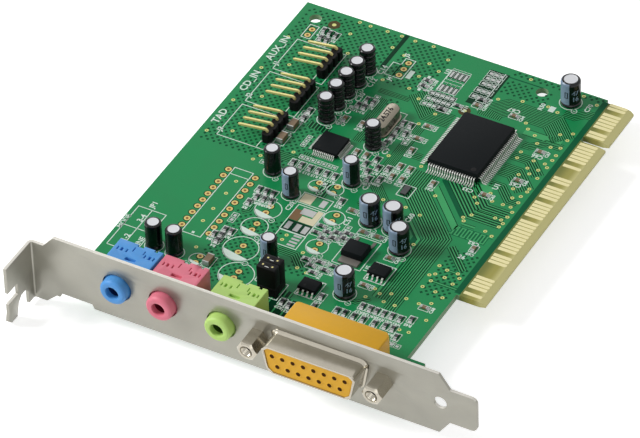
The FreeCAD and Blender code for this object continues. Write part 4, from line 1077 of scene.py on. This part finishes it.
def make_holes():
    """Plated rings of the small and the wide holes, with flat discs over their bores: painted shade in the
    small ones, and the plated bore's copper darkened by painted shade in the wide ones.
    """
    copy_on("via_rings", ring_shape(VIA_RING, VIA_BORE, VIA_STEPS), VIAS, "ring", RING_LEVEL)
    # Flat discs of painted shade over the via bores
    copy_on("via_holes", disc_shape(VIA_BORE + BORE_LAP, VIA_STEPS), VIAS, "hole", RING_LEVEL)
    lower_rings = facing_down(ring_shape(VIA_RING, 0.0, VIA_STEPS))
    copy_on("solder_side_via_rings", lower_rings, VIAS, "ring", UNDER_RING_LEVEL)
    socket = [
        (SOCKET_ROWS[side], SOCKET_ROWS["first"] - SOCKET_ROWS["pitch"] * k)
        for side in ("left", "right") for k in range(SOCKET_ROWS["count"])
    ]
    cans = [(x, y + side * CAN_LEADS) for x, y, _ in CAN_RINGS for side in (-1, 1)]
    wide = socket + OPEN_HOLES + cans
    gap = ring_shape(HOLE_GAP, HOLE_RING - GAP_LAP, HOLE_STEPS)
    copy_on("hole_gaps", gap, wide, "bare_mask", TRACK_LEVEL)
    copy_on("hole_rings", ring_shape(HOLE_RING, HOLE_BORE, HOLE_STEPS), wide, "wide_ring", RING_LEVEL)
    # Flat discs over the wide bores: plated copper darkened by painted shade
    copy_on("hole_fills", disc_shape(HOLE_BORE + BORE_LAP, HOLE_STEPS), wide, "bore_copper_and_shade", RING_LEVEL)
    lower_lands = facing_down(ring_shape(HOLE_RING, 0.0, HOLE_STEPS))
    copy_on("solder_side_hole_rings", lower_lands, wide, "solder", UNDER_RING_LEVEL)


# White print: boxes, rings and lettering

PRINT_WIDTH, PRINT_BOLD, TYPE_SIZE = 0.24, 0.055, 1.4
CAN_PRINT_GAP, CAN_PRINT_STEPS = 0.28, 36
FILL_FROM, FILL_TO, FILL_STEPS = 198, 322, 20
SIGN_ASIDE, SIGN_BELOW = 0.8, 0.95
SIGN_RADIUS, SIGN_HALF, SIGN_WIDTH, SIGN_STEPS = 0.72, 0.4, 0.16, 20
CHIP_MARGIN, CHIP_LINE, LABEL_AWAY, LABEL_HEIGHT = 0.5, 0.2, 1.3, 0.9
PRINT_BOXES = [
    (13.4, 93.7, 27.3, 106.5), (13.4, 79.7, 27.3, 92.3), (13.4, 65.4, 27.3, 78.2),
    (13.5, 107.9, 16, 113.1), (41.3, 104.5, 44, 112.2), (39.1, 104.5, 41.3, 109.5),
    (53.6, 104.9, 58.8, 113.4), (23.6, 30.2, 28.8, 56.5), (44.2, 41.9, 51.4, 51.6),
    (43.3, 52.3, 51.3, 56.2), (63.4, 65.5, 66.8, 69.8), (61.2, 37, 68.9, 48), (71, 35, 76.4, 41.7),
    (58.7, 22.9, 64, 29.3), (9.8, 18, 17.5, 33.4), (50.2, 18.8, 56.2, 24.8), (46.4, 81.4, 51.8, 93.2),
    (44.4, 36.7, 51.5, 41.7),
]
PRINT_LINES = [
    [(23.6, 54), (28.8, 54)], [(9.8, 26), (17.5, 26)], [(13.6, 18), (13.6, 33.4)],
    [(24.4, 80), (24.4, 82.4), (27, 82.4)], [(24.4, 94), (24.4, 96.4), (27, 96.4)],
    [(24.4, 65.7), (24.4, 68.1), (27, 68.1)], [(51.9, 82), (51.9, 90.6)], [(66.3, 102.5), (66.3, 118)],
]
PRINT_PANELS = [
    (44.5, 105.4, 45.8, 108.6), (49.4, 102.6, 50.2, 108.8), (26, 30.7, 26.7, 31.4),
    (81.9, 110.1, 83.4, 112.2),
]

# Lettering: the words, their middle, their turn in degrees and their height
LETTERING = [
    ("AUX_IN", 10.7, 101.3, 90, 2.0), ("CD_IN", 10.7, 87.0, 90, 2.0), ("TAD", 10.7, 71.8, 90, 2.0),
    ("J1", 13.2, 96.0, 90, 1.4), ("J2", 13.2, 82.0, 90, 1.4), ("J3", 13.2, 67.6, 90, 1.4),
    ("JP1", 12.9, 35.4, 90, 1.4), ("1-2", 12.8, 22, 90, 1.5), ("3-4", 12.8, 29.8, 90, 1.5),
    ("LINE", 16.6, 22, 90, 1.4), ("SPK", 16.6, 29.8, 90, 1.4), ("MODE", 9.4, 27, 90, 1.3),
    ("LINE_IN", 30, 15.6, 0, 1.3), ("MIC", 37.6, 15.6, 0, 1.3), ("LINE_OUT", 49.6, 14.6, 0, 1.3),
    ("C14", 38.2, 105.6, 90, 1.5), ("C12", 38.2, 100, 90, 1.5), ("C30", 38.2, 93.8, 90, 1.5),
    ("C28", 38.2, 88.4, 90, 1.5), ("C32", 38.2, 83.7, 90, 1.5), ("C9", 53.6, 78.6, 90, 1.5),
    ("C56", 55.7, 65.2, 90, 1.4), ("C51", 57.8, 51.6, 90, 1.4), ("C60", 70.6, 59.4, 90, 1.4),
    ("U1", 83.9, 79.2, 90, 1.4), ("U3", 53.0, 112.4, 90, 1.2), ("U2", 46.8, 72, 90, 1.3),
    ("C67", 74.6, 106.5, 180, 1.4), ("C66", 87.6, 93.6, 180, 1.3), ("C65", 87.6, 81.9, 180, 1.3),
    ("26", 88.3, 52.5, 0, 1.3), ("C62", 88.6, 58.2, 180, 1.2), ("J4", 41.3, 103.4, 90, 1.2),
    ("J5", 41, 113.4, 90, 1.3), ("R50", 80, 110.9, 90, 1.2), ("C20", 42.6, 50, 90, 1.3),
    ("C21", 42.6, 36, 90, 1.3), ("C22", 48.6, 24, 90, 1.3), ("U5", 70.2, 38.6, 90, 1.3),
    ("U6", 60.6, 44, 90, 1.3), ("C70", 90.6, 115.6, 90, 1.3), ("C33", 78.2, 75, 180, 1.2),
]


def letters(shape, text, x, y, turn, height, level=PRINT_LEVEL):
    """Flat lettering, centred on a point and turned about Z."""
    curve = bpy.data.curves.new("text", "FONT")
    curve.body, curve.size = text, height * TYPE_SIZE
    curve.align_x, curve.align_y = "CENTER", "CENTER"
    curve.resolution_u, curve.offset = 2, PRINT_BOLD
    holder = bpy.data.objects.new("text", curve)
    mesh = bpy.data.meshes.new_from_object(holder)
    spin = Matrix.Rotation(math.radians(turn), 3, "Z")
    points = [spin @ v.co + Vector((x, y, level)) for v in mesh.vertices]
    shape.add(points, [list(face.vertices) for face in mesh.polygons])
    bpy.data.objects.remove(holder)
    bpy.data.curves.remove(curve)
    bpy.data.meshes.remove(mesh)


def frame_print(shape, x0, y0, x1, y1, width=PRINT_WIDTH):
    """A printed box between two corners."""
    ribbon(shape, [(x0, y0), (x1, y0), (x1, y1), (x0, y1), (x0, y0)], width, PRINT_LEVEL)


def can_print(shape, x, y, radius, filled):
    """The ring round a can's place and its minus sign; one side is filled where no can is fitted."""
    ribbon(shape, arc(x, y, radius, 0, 360, CAN_PRINT_STEPS), PRINT_WIDTH, PRINT_LEVEL)
    if filled:
        edge = arc(x, y, radius, FILL_FROM, FILL_TO, FILL_STEPS)
        shape.add([(px, py, PRINT_LEVEL) for px, py in edge], [range(len(edge))])
    sx, sy = x + radius * SIGN_ASIDE, y - radius * SIGN_BELOW
    ribbon(shape, arc(sx, sy, SIGN_RADIUS, 0, 360, SIGN_STEPS), SIGN_WIDTH, PRINT_LEVEL)
    ribbon(shape, [(sx - SIGN_HALF, sy), (sx + SIGN_HALF, sy)], SIGN_WIDTH, PRINT_LEVEL)


def chip_print(shape, finish, number, low, high):
    """The printed box round a small chip part, and its part number."""
    frame_print(shape, low.x - CHIP_MARGIN, low.y - CHIP_MARGIN, high.x + CHIP_MARGIN, high.y + CHIP_MARGIN,
                CHIP_LINE)
    text = f"{'R' if finish == 'resistor' else 'C'}{number}"
    middle = (low + high) / 2
    if high.y - low.y > high.x - low.x:
        letters(shape, text, middle.x, low.y - LABEL_AWAY, 180, LABEL_HEIGHT)
    else:
        letters(shape, text, high.x + LABEL_AWAY, middle.y, 90, LABEL_HEIGHT)


def make_print():
    """All the white print on the board, as one piece."""
    shape = Shape()
    for corners in PRINT_BOXES:
        frame_print(shape, *corners)
    for line in PRINT_LINES:
        ribbon(shape, line, PRINT_WIDTH, PRINT_LEVEL)
    for patch in PRINT_PANELS:
        panel(shape, *patch, PRINT_LEVEL)
    for node in CANS:
        for low, high in loose_parts(node):
            middle = (low + high) / 2
            can_print(shape, middle.x, middle.y, (high.x - low.x) / 2 + CAN_PRINT_GAP, False)
    for x, y, radius in CAN_RINGS:
        can_print(shape, x, y, radius, True)
    for number, (finish, low, high) in enumerate(chip_boxes(), 1):
        chip_print(shape, finish, number, low, high)
    for text, x, y, turn, height in LETTERING:
        letters(shape, text, x, y, turn, height)
    show(shape.mesh("white_print", ["print"]))


# Bare solder lands, where no part is fitted

# Each row: the middle of its first land, the step to the next, how many there are, and a land's size
LAND_ROWS = [
    ((54.4, 111.9), (1.24, 0), 4, (0.6, 2.2)), ((54.4, 106.3), (1.24, 0), 4, (0.6, 2.2)),
    ((49.7, 37.6), (0, 1.15), 4, (2.2, 0.66)), ((53.4, 103.4), (1.4, 0), 5, (0.9, 0.8)),
    ((53.4, 101.2), (1.4, 0), 5, (0.9, 0.8)), ((53.4, 99), (1.4, 0), 3, (0.9, 0.8)),
    ((63, 116.6), (1.5, 0), 3, (0.9, 0.9)), ((63, 114.6), (1.5, 0), 3, (0.9, 0.9)),
    ((63, 112.4), (1.5, 0), 3, (0.9, 0.9)), ((63, 109.6), (1.5, 0), 3, (0.9, 0.9)),
    ((63, 107), (1.5, 0), 3, (0.9, 0.9)), ((51.2, 108), (0, -1.5), 4, (1, 0.8)),
    ((30.6, 20.4), (0, -1.6), 3, (0.8, 0.9)), ((32.4, 41), (0, -1.7), 2, (0.8, 0.9)),
    ((46, 17.6), (0, -1.6), 2, (1, 0.8)), ((29, 82.2), (0, -1.5), 2, (0.9, 0.8)),
    ((36.4, 67.4), (1.5, 0), 7, (0.7, 0.7)), ((50.2, 70.6), (0, -1.6), 3, (0.8, 0.7)),
    ((56.4, 83.4), (0, 1.5), 3, (0.8, 0.7)), ((47.8, 68.2), (1.5, 0), 3, (0.7, 0.7)),
    ((59, 49.4), (0, -1.6), 4, (0.8, 0.7)), ((57, 36), (1.5, 0), 3, (0.8, 0.7)),
    ((64, 34.4), (1.5, 0), 3, (0.8, 0.7)), ((66, 20), (1.5, 0), 2, (0.8, 0.7)),
    ((85, 17.6), (1.5, 0), 4, (0.8, 0.7)), ((28.8, 61.4), (1.5, 0), 2, (0.8, 0.7)),
    ((42, 92.6), (0, 1.5), 3, (0.7, 0.7)), ((46, 60.8), (1.5, 0), 1, (0.7, 0.7)),
    ((34.4, 71.6), (0, 1.5), 3, (0.6, 0.7)),
]

# Single lands: two corners, and the index of the finish
LAND_FINISHES = ["solder", "brown_land", "cream_land"]
BARE_LANDS = [
    (46, 48.7, 49.6, 51, 0), (44.9, 42.5, 46.2, 45.2, 0), (47.3, 42.5, 48.7, 45.2, 0),
    (49.5, 42.5, 50.9, 45.2, 0), (44.3, 46, 46.8, 50, 1), (47, 46, 51.2, 48.2, 2),
    (49.7, 48.2, 51.2, 51.4, 2), (43.6, 52.6, 46.8, 55.9, 2), (48.8, 52.9, 50.3, 55.5, 0),
]
LAND_LINE, LAND_STEP, SMALL_LAND = 0.14, 0.004, 1.0


def make_lands():
    """Bare lands, with printed boxes round the small ones."""
    shape, outlines = Shape(), Shape()
    for (x, y), (dx, dy), count, (width, depth) in LAND_ROWS:
        for k in range(count):
            px, py = x + dx * k, y + dy * k
            panel(shape, px - width / 2, py - depth / 2, px + width / 2, py + depth / 2, PAD_LEVEL)
            if width < SMALL_LAND:
                frame_print(outlines, px - width, py - depth, px + width, py + depth, LAND_LINE)
    show(outlines.mesh("land_outlines", ["print"]))
    for x0, y0, x1, y1, kind in BARE_LANDS:
        panel(shape, x0, y0, x1, y1, PAD_LEVEL + LAND_STEP * (len(LAND_FINISHES) - 1 - kind), kind)
    show(shape.mesh("bare_lands", LAND_FINISHES))


# Tops of the jumper caps

WELL_OUTER, WELL_INNER = 0.62, 0.27
SPRING_LEFT, SPRING_RIGHT, SPRING_FRONT, SPRING_BACK = 0.55, 0.5, 0.62, 0.44


def make_jumper_tops():
    """Painted shade round the jumper's pin ends, where the caps are open, and the spring's edge that shows in
    each cap.
    """
    pins = [(low + high) / 2 for low, high in loose_parts("jumper_pins")]
    top = layout_box("jumper_pins")[1].z + PAD_LEVEL
    # Flat rings of painted shade, where the caps are open round the pins
    well_shade = ring_shape(WELL_OUTER, WELL_INNER, VIA_STEPS)
    copy_on("jumper_wells", well_shade, [(pin.x, pin.y) for pin in pins], "painted_shade", top)
    springs = Shape()
    middle = sum(pins, Vector()) / len(pins)
    for pin in pins:
        if pin.x < middle.x:
            panel(springs, middle.x - SPRING_LEFT, pin.y - SPRING_FRONT, middle.x + SPRING_RIGHT,
                  pin.y - SPRING_BACK, top)
    show(springs.mesh("jumper_springs", ["tin"]))


# Joints under the leads, and the contacts on both sides of the tab

STRAIGHT_PINS = ["jumper_pins", *(f"{jack}_jack_terminals" for jack in JACKS)]
HEADER_FOOT, PORT_FOOT, CAN_FOOT = 0.32, 0.3, 1.0
JOINT_STEPS, CONTACT_STEPS = 12, 10
JOINT_PROFILE = [(0.0, -0.78), (0.22, -0.74), (0.32, -0.45), (0.55, -0.2), (0.95, -0.03), (0.95, 0.0)]


def make_joints():
    """Cones of solder under the leads that go through the board."""
    places = []
    for header in HEADERS:
        for low, high in loose_parts(f"{header}_header_pins"):
            places.append((high.x - HEADER_FOOT, (low.y + high.y) / 2))
    for low, high in loose_parts("game_port_contacts"):
        places.append(((low.x + high.x) / 2, high.y - PORT_FOOT))
    for node in STRAIGHT_PINS:
        for low, high in loose_parts(node):
            places.append(((low.x + high.x) / 2, (low.y + high.y) / 2))
    for node in CANS:
        for low, high in loose_parts(node):
            middle = (low + high) / 2
            places += [(middle.x - CAN_FOOT, middle.y), (middle.x + CAN_FOOT, middle.y)]
    joint = Shape()
    lathe(joint, JOINT_PROFILE, (0, 0, 0), JOINT_STEPS)
    copy_on("solder_joints", joint, places, "solder", -BOARD_THICK, smooth=60)


def make_contacts():
    """Plated contacts with round outer ends, the same on both sides of the tab."""
    strips = Shape()
    for low, high in loose_parts("edge_contacts"):
        half = (high.y - low.y) / 2
        end = arc(high.x - half, low.y + half, half, -90, 90, CONTACT_STEPS)
        outline = [(low.x, low.y)] + end + [(low.x, high.y)]
        rings = [[Vector((x, y, z)) for x, y in outline] for z in (low.z, high.z)]
        skin(strips, rings)
        strips.add(rings[1], [range(len(outline))])
    show(strips.mesh("edge_contacts_plated", ["gold"]), replaced=["edge_contacts"])
    show(under(strips).mesh("solder_side_contacts", ["gold"]))


# Jacks: round barrels with a soft lip

JACK_AXIS, JACK_RADIUS, JACK_BORE, JACK_PROUD, JACK_DEEP = 5.7, 3.53, 1.78, 2.42, 8.4
BARREL_STEPS = 48


def make_barrels():
    """The barrel of each jack, with a soft lip; deep in the bore the jack's colour is painted darker, as
    painted shade.
    """
    outer, bore, face = JACK_RADIUS, JACK_BORE, -JACK_PROUD
    profile = [
        (outer, 0.95), (outer, face + 0.85), (outer - 0.12, face + 0.46), (outer - 0.38, face + 0.16),
        (outer - 0.74, face + 0.01), (bore + 0.5, face), (bore + 0.18, face + 0.12), (bore, face + 0.46),
        (bore, -0.9), (bore, JACK_DEEP), (0.0, JACK_DEEP),
    ]
    for jack in JACKS:
        low, high = layout_box(f"{jack}_jack_housing")
        shape = Shape()
        axis = ((low.x + high.x) / 2, 0, JACK_AXIS)
        # The bore past the lip and its end take painted shade, in a darker tone of the jack's colour
        lathe(shape, profile, axis, BARREL_STEPS, axis="Y", kinds=[0] * 8 + [1, 1])
        show(shape.mesh(f"{jack}_jack_barrel", [jack, f"deep_{jack}"], smooth=35))


# Game port: rolled shell, round sockets and turned jackscrews

PORT_MIDDLE = (sum(layout_box("game_port_shell"), Vector()) / 2).x
PORT_AXIS, PORT_SLANT = 6.0, 10.0
PORT_HALF, PORT_TALL, PORT_CORNER = 12.42, 4.03, 1.3
PIN_PITCH, PIN_ROW, SOCKET_STEPS = 2.77, 1.42, 16
PIN_ROWS = [(8, PIN_ROW), (7, -PIN_ROW)]
SCREW_REACH = 16.66
SCREW_FLAT, SCREW_TURN, SCREW_STEPS = 2.38, math.pi / 6, 48
SCREW_NOSE, NOSE_SLOPE, SCREW_BORE, SCREW_SHANK = 2.08, 0.8, 1.5, 1.5
THREAD_RINGS, THREAD_FROM, THREAD_PITCH, THREAD_DEPTH, BORE_LIP = 9, 0.3, 0.24, 0.2, 0.12
CORNER_STEPS, CORNER_LEAST = 6, 0.2

# Profiles that start at the back: the shell's and the face's as inset and Y, a socket's as radius and Y
SHELL_PROFILE = [
    (-0.75, -0.05), (-0.7, -0.2), (-0.3, -0.45), (-0.08, -0.9), (0.0, -1.5), (0.0, -5.5), (0.08, -5.8),
    (0.2, -5.9), (0.34, -5.85), (0.4, -5.6), (0.4, -4.0),
]
FACE_PROFILE = [(0.38, -5.3), (0.42, -5.58), (0.75, -5.68)]
SOCKET_PROFILE = [(0.92, -5.69), (0.8, -5.76), (0.6, -5.76), (0.52, -5.7), (0.0, -5.7)]


def port_ring(inset, y):
    """The port's D-shaped outline at one depth, with rounded corners."""
    lean = 2 * PORT_TALL * math.tan(math.radians(PORT_SLANT))
    corners = [
        (PORT_HALF - lean, -PORT_TALL), (PORT_HALF, PORT_TALL),
        (-PORT_HALF, PORT_TALL), (lean - PORT_HALF, -PORT_TALL),
    ]
    radius = max(PORT_CORNER - inset, CORNER_LEAST)
    ring = []
    for k, (x, z) in enumerate(corners):
        here = Vector((x, z))
        before = (Vector(corners[k - 1]) - here).normalized()
        after = (Vector(corners[(k + 1) % 4]) - here).normalized()
        half = before.angle(after) / 2
        middle = here + (before + after).normalized() * ((radius + inset) / math.sin(half))
        first = math.atan2(before.x, -before.y)
        sweep = math.pi - 2 * half
        for step in range(CORNER_STEPS + 1):
            angle = first + sweep * step / CORNER_STEPS
            across, up = middle.x + radius * math.cos(angle), middle.y + radius * math.sin(angle)
            ring.append(Vector((PORT_MIDDLE + across, y, PORT_AXIS + up)))
    return ring


def make_port():
    """The port's rolled shell, its plastic face and the sockets in it, whose openings are flat discs of
    painted shade.
    """
    shell = Shape()
    skin(shell, [port_ring(inset, y) for inset, y in SHELL_PROFILE])
    show(shell.mesh("port_shell_skin", ["nickel"], smooth=50))
    face = Shape()
    rings = [port_ring(inset, y) for inset, y in FACE_PROFILE]
    skin(face, rings)
    face.add(rings[-1], [range(len(rings[-1]))])
    show(face.mesh("port_face", ["orange"], smooth=35), replaced=["game_port_insulator"])
    sockets = Shape()
    for count, row in PIN_ROWS:
        for k in range(count):
            spot = (PORT_MIDDLE + (k - (count - 1) / 2) * PIN_PITCH, 0, PORT_AXIS + row)
            # The two inner bands of each socket are its opening, in painted shade
            lathe(sockets, SOCKET_PROFILE, spot, SOCKET_STEPS, axis="Y", kinds=[0, 0, 1, 1])
    show(sockets.mesh("port_sockets", ["orange", "socket"], smooth=40))


def hex_radius(turn):
    """How far the side of a standoff is from its axis, at one turn about it."""
    return SCREW_FLAT / math.cos((turn - SCREW_TURN + math.pi / 6) % (math.pi / 3) - math.pi / 6)


def make_standoffs():
    """Two hexagonal standoffs with a turned-down nose, a tapped hole and a plain shank behind the bracket;
    every other band of the thread and the bottom of the hole take painted shade.
    """
    shape = Shape()
    turns = [2 * math.pi * k / SCREW_STEPS for k in range(SCREW_STEPS)]
    spokes = [(Vector((math.cos(turn), 0, math.sin(turn))), hex_radius(turn)) for turn in turns]
    back = layout_box("game_port_jackscrews")[1].y
    front = Vector((0, -PORT_PROUD, 0))
    for side in (-1, 1):
        axis = Vector((PORT_MIDDLE + side * SCREW_REACH, 0, PORT_AXIS))
        stem = [axis + way * SCREW_SHANK for way, _ in spokes]
        foot = [axis + way * size for way, size in spokes]
        slope = [Vector((0, (size - SCREW_NOSE) * NOSE_SLOPE, 0)) for _, size in spokes]
        shoulder = [corner + front + fall for corner, fall in zip(foot, slope)]
        nose = [axis + way * SCREW_NOSE + front for way, _ in spokes]
        skin(shape, [stem, foot, shoulder, nose])
        thread = [
            (SCREW_BORE - THREAD_DEPTH * (k % 2), THREAD_FROM + THREAD_PITCH * k - PORT_PROUD)
            for k in range(THREAD_RINGS)
        ]
        mouth = [(SCREW_NOSE, -PORT_PROUD), (SCREW_BORE + BORE_LIP, -PORT_PROUD)]
        # Bands that face the front stay nickel; the others and the hole's bottom take painted shade
        kinds = [0, 0] + [k % 2 for k in range(THREAD_RINGS - 1)] + [1]
        lathe(shape, mouth + thread + [(0.0, thread[-1][1])], axis, SCREW_STEPS, axis="Y", kinds=kinds)
        lathe(shape, [(0.0, back), (SCREW_SHANK, back), (SCREW_SHANK, 0.0)], axis, SCREW_STEPS, axis="Y")
    mesh = shape.mesh("jackscrew_standoffs", ["nickel", "painted_shade"], smooth=25)
    show(mesh, replaced=["game_port_jackscrews"])


# Headers: notched bases, and pins with soft bends

HEADER_PINS, BASE_NOTCH, BASE_EDGE = 4, 0.5, 0.14


def notched_outline(low, high, inset):
    """The outline of a base with notches between its pins, listed from the front right corner."""
    pitch = (high.y - low.y) / HEADER_PINS
    right, left = [], []
    for k in range(HEADER_PINS):
        start, end = low.y + pitch * k, low.y + pitch * (k + 1)
        places = ((start, BASE_NOTCH), (start + BASE_NOTCH, 0), (end - BASE_NOTCH, 0), (end, BASE_NOTCH))
        for y, cut in places:
            y = min(max(y, low.y + inset), high.y - inset)
            right.append((high.x - cut - inset, y))
            left.append((low.x + cut + inset, y))
    return right + left[::-1]


def make_header_bases():
    """The notched base of each header."""
    for header in HEADERS:
        node = f"{header}_header_base"
        low, high = layout_box(node)
        shape = Shape()
        levels = ((0, low.z), (0, high.z - BASE_EDGE), (BASE_EDGE, high.z))
        rings = [[Vector((x, y, z)) for x, y in notched_outline(low, high, inset)] for inset, z in levels]
        skin(shape, rings)
        shape.add(rings[0], [range(len(rings[0]))[::-1]])
        shape.add(rings[-1], [range(len(rings[-1]))])
        show(shape.mesh(f"{node}_notched", ["black"]), replaced=[node])


HEADER_PIN, HEADER_REACH, HEADER_TURN, HEADER_DROOP = 0.54, 8.3, 3.55, 1.2
BEND_UNDER, BEND_ACROSS, BEND_UP, BEND_TURNS = 0.9, 0.7, 0.75, (0.4, 0.8, 1.2, 1.5)
TIP_LENGTH, TIP_FALL, TIP_SHARE = 0.5, 0.05, 0.55


def make_header_pins():
    """Header pins with a soft bend and a narrow tip."""
    for header in HEADERS:
        shape = Shape()
        for low, high in loose_parts(f"{header}_header_pins"):
            x, y, half = high.x - HEADER_PIN / 2, (low.y + high.y) / 2, HEADER_PIN / 2
            bend, end = HEADER_TURN - BEND_UNDER, HEADER_TURN - HEADER_DROOP
            path = [Vector((x, 0, low.z)), Vector((x, 0, bend))]
            for a in BEND_TURNS:
                path.append(Vector((x - BEND_ACROSS * (1 - math.cos(a)), 0, bend + BEND_UP * math.sin(a))))
            path.append(Vector((x - HEADER_REACH + TIP_LENGTH, 0, end + TIP_FALL)))
            path.append(Vector((x - HEADER_REACH, 0, end)))
            rings = []
            for k, here in enumerate(path):
                way = (path[min(k + 1, len(path) - 1)] - path[max(k - 1, 0)]).normalized()
                reach = half * (TIP_SHARE if k == len(path) - 1 else 1)
                side, deep = Vector((way.z, 0, -way.x)) * reach, Vector((0, reach, 0))
                centre = Vector((here.x, y, here.z))
                back, front = centre + deep, centre - deep
                rings.append([back + side, back - side, front - side, front + side])
            skin(shape, rings)
            shape.add(rings[-1], [(0, 1, 2, 3)])
            shape.add(rings[0], [(3, 2, 1, 0)])
        show(shape.mesh(f"{header}_pins_bent", ["pin"], smooth=40), replaced=[f"{header}_header_pins"])


# Bent leads of the chips

LEAD_THICK, LEAD_INSIDE = 0.16, 0.1
FOOT_FROM, FOOT_HALF, FOOT_PAST = 0.55, 0.62, 0.25


def bar(shape, path, half_width, half_thick):
    """A bent bar: a rectangular section carried along a path in the XZ plane."""
    rings = []
    for k, (x, z) in enumerate(path):
        after, before = path[min(k + 1, len(path) - 1)], path[max(k - 1, 0)]
        way = Vector((after[0] - before[0], 0, after[1] - before[1])).normalized()
        up, across = Vector((-way.z, 0, way.x)) * half_thick, Vector((0, half_width, 0))
        here = Vector((x, 0, z))
        rings.append([here + up - across, here + up + across, here - up + across, here - up - across])
    skin(shape, rings)
    shape.add(rings[0], [(3, 2, 1, 0)])
    shape.add(rings[-1], [(0, 1, 2, 3)])


def make_leads():
    """Bent leads of the chips, and the lands under their feet."""
    for chip in CHIPS:
        low, high = layout_box(f"{chip}_chip_body")
        middle, half = (low + high) / 2, (high - low) / 2
        places, width, reach = [], 0, 0
        for lead_low, lead_high in loose_parts(f"{chip}_chip_leads"):
            spot, size = (lead_low + lead_high) / 2, lead_high - lead_low
            away = spot - middle
            sideways = abs(away.x) / half.x > abs(away.y) / half.y
            width, reach = (size.y, size.x) if sideways else (size.x, size.y)
            if sideways:
                places.append((middle.x + math.copysign(half.x, away.x), spot.y, 0 if away.x > 0 else 180))
            else:
                places.append((spot.x, middle.y + math.copysign(half.y, away.y), 90 if away.y > 0 else 270))
        rise, half_thick = middle.z, LEAD_THICK / 2
        path = [
            (-LEAD_INSIDE, rise), (reach * 0.2, rise), (reach * 0.32, rise * 0.85),
            (reach * 0.46, rise * 0.25), (reach * 0.58, half_thick * 1.2), (reach * 0.7, half_thick),
            (reach, half_thick),
        ]
        lead = Shape()
        bar(lead, path, width / 2, half_thick)
        copy_on(f"{chip}_leads_bent", lead, places, "tin", replaced=[f"{chip}_chip_leads"])
        foot = Shape()
        panel(foot, reach * FOOT_FROM, -width * FOOT_HALF, reach + FOOT_PAST, width * FOOT_HALF, 0)
        copy_on(f"{chip}_lead_lands", foot, places, "solder", PAD_LEVEL)


# Marks on the chips and the crystal

# The corner of each chip's first lead, and the radius of its dimple
DIMPLES = {
    "controller": ((1, -1), 0.7), "codec": ((-1, -1), 0.4),
    "amplifier": ((-1, -1), 0.35), "memory": ((-1, -1), 0.35),
}
DIMPLE_ASIDE, DIMPLE_BELOW, DIMPLE_PROUD, DIMPLE_STEPS = 1.2, 0.7, 0.006, 20
CRYSTAL_TYPE, CRYSTAL_PROUD = 1.5, 0.01


def make_chip_marks():
    """Dimples on the chips, and the number on the crystal."""
    shape = Shape()
    for chip, ((right, up), radius) in DIMPLES.items():
        low, high = layout_box(f"{chip}_chip_body")
        middle, size = (low + high) / 2, high - low
        x = middle.x + right * (size.x / 2 - DIMPLE_ASIDE - radius)
        y = middle.y + up * (size.y / 2 - DIMPLE_BELOW - radius)
        disc(shape, x, y, radius, high.z + DIMPLE_PROUD, steps=DIMPLE_STEPS)
    show(shape.mesh("chip_dimples", ["black"]))
    low, high = layout_box("crystal_can")
    middle, number = (low + high) / 2, Shape()
    letters(number, "24.576", middle.x, middle.y, 90, CRYSTAL_TYPE, high.z + CRYSTAL_PROUD)
    show(number.mesh("crystal_number", ["black"]))


finish_solids()
make_capacitors()
make_can_numbers()
make_chip_parts()
make_tracks()
make_voids()
make_holes()
make_print()
make_lands()
make_joints()
make_contacts()
make_barrels()
make_port()
make_standoffs()
make_header_bases()
make_header_pins()
make_leads()
make_chip_marks()
add_camera()
add_studio()
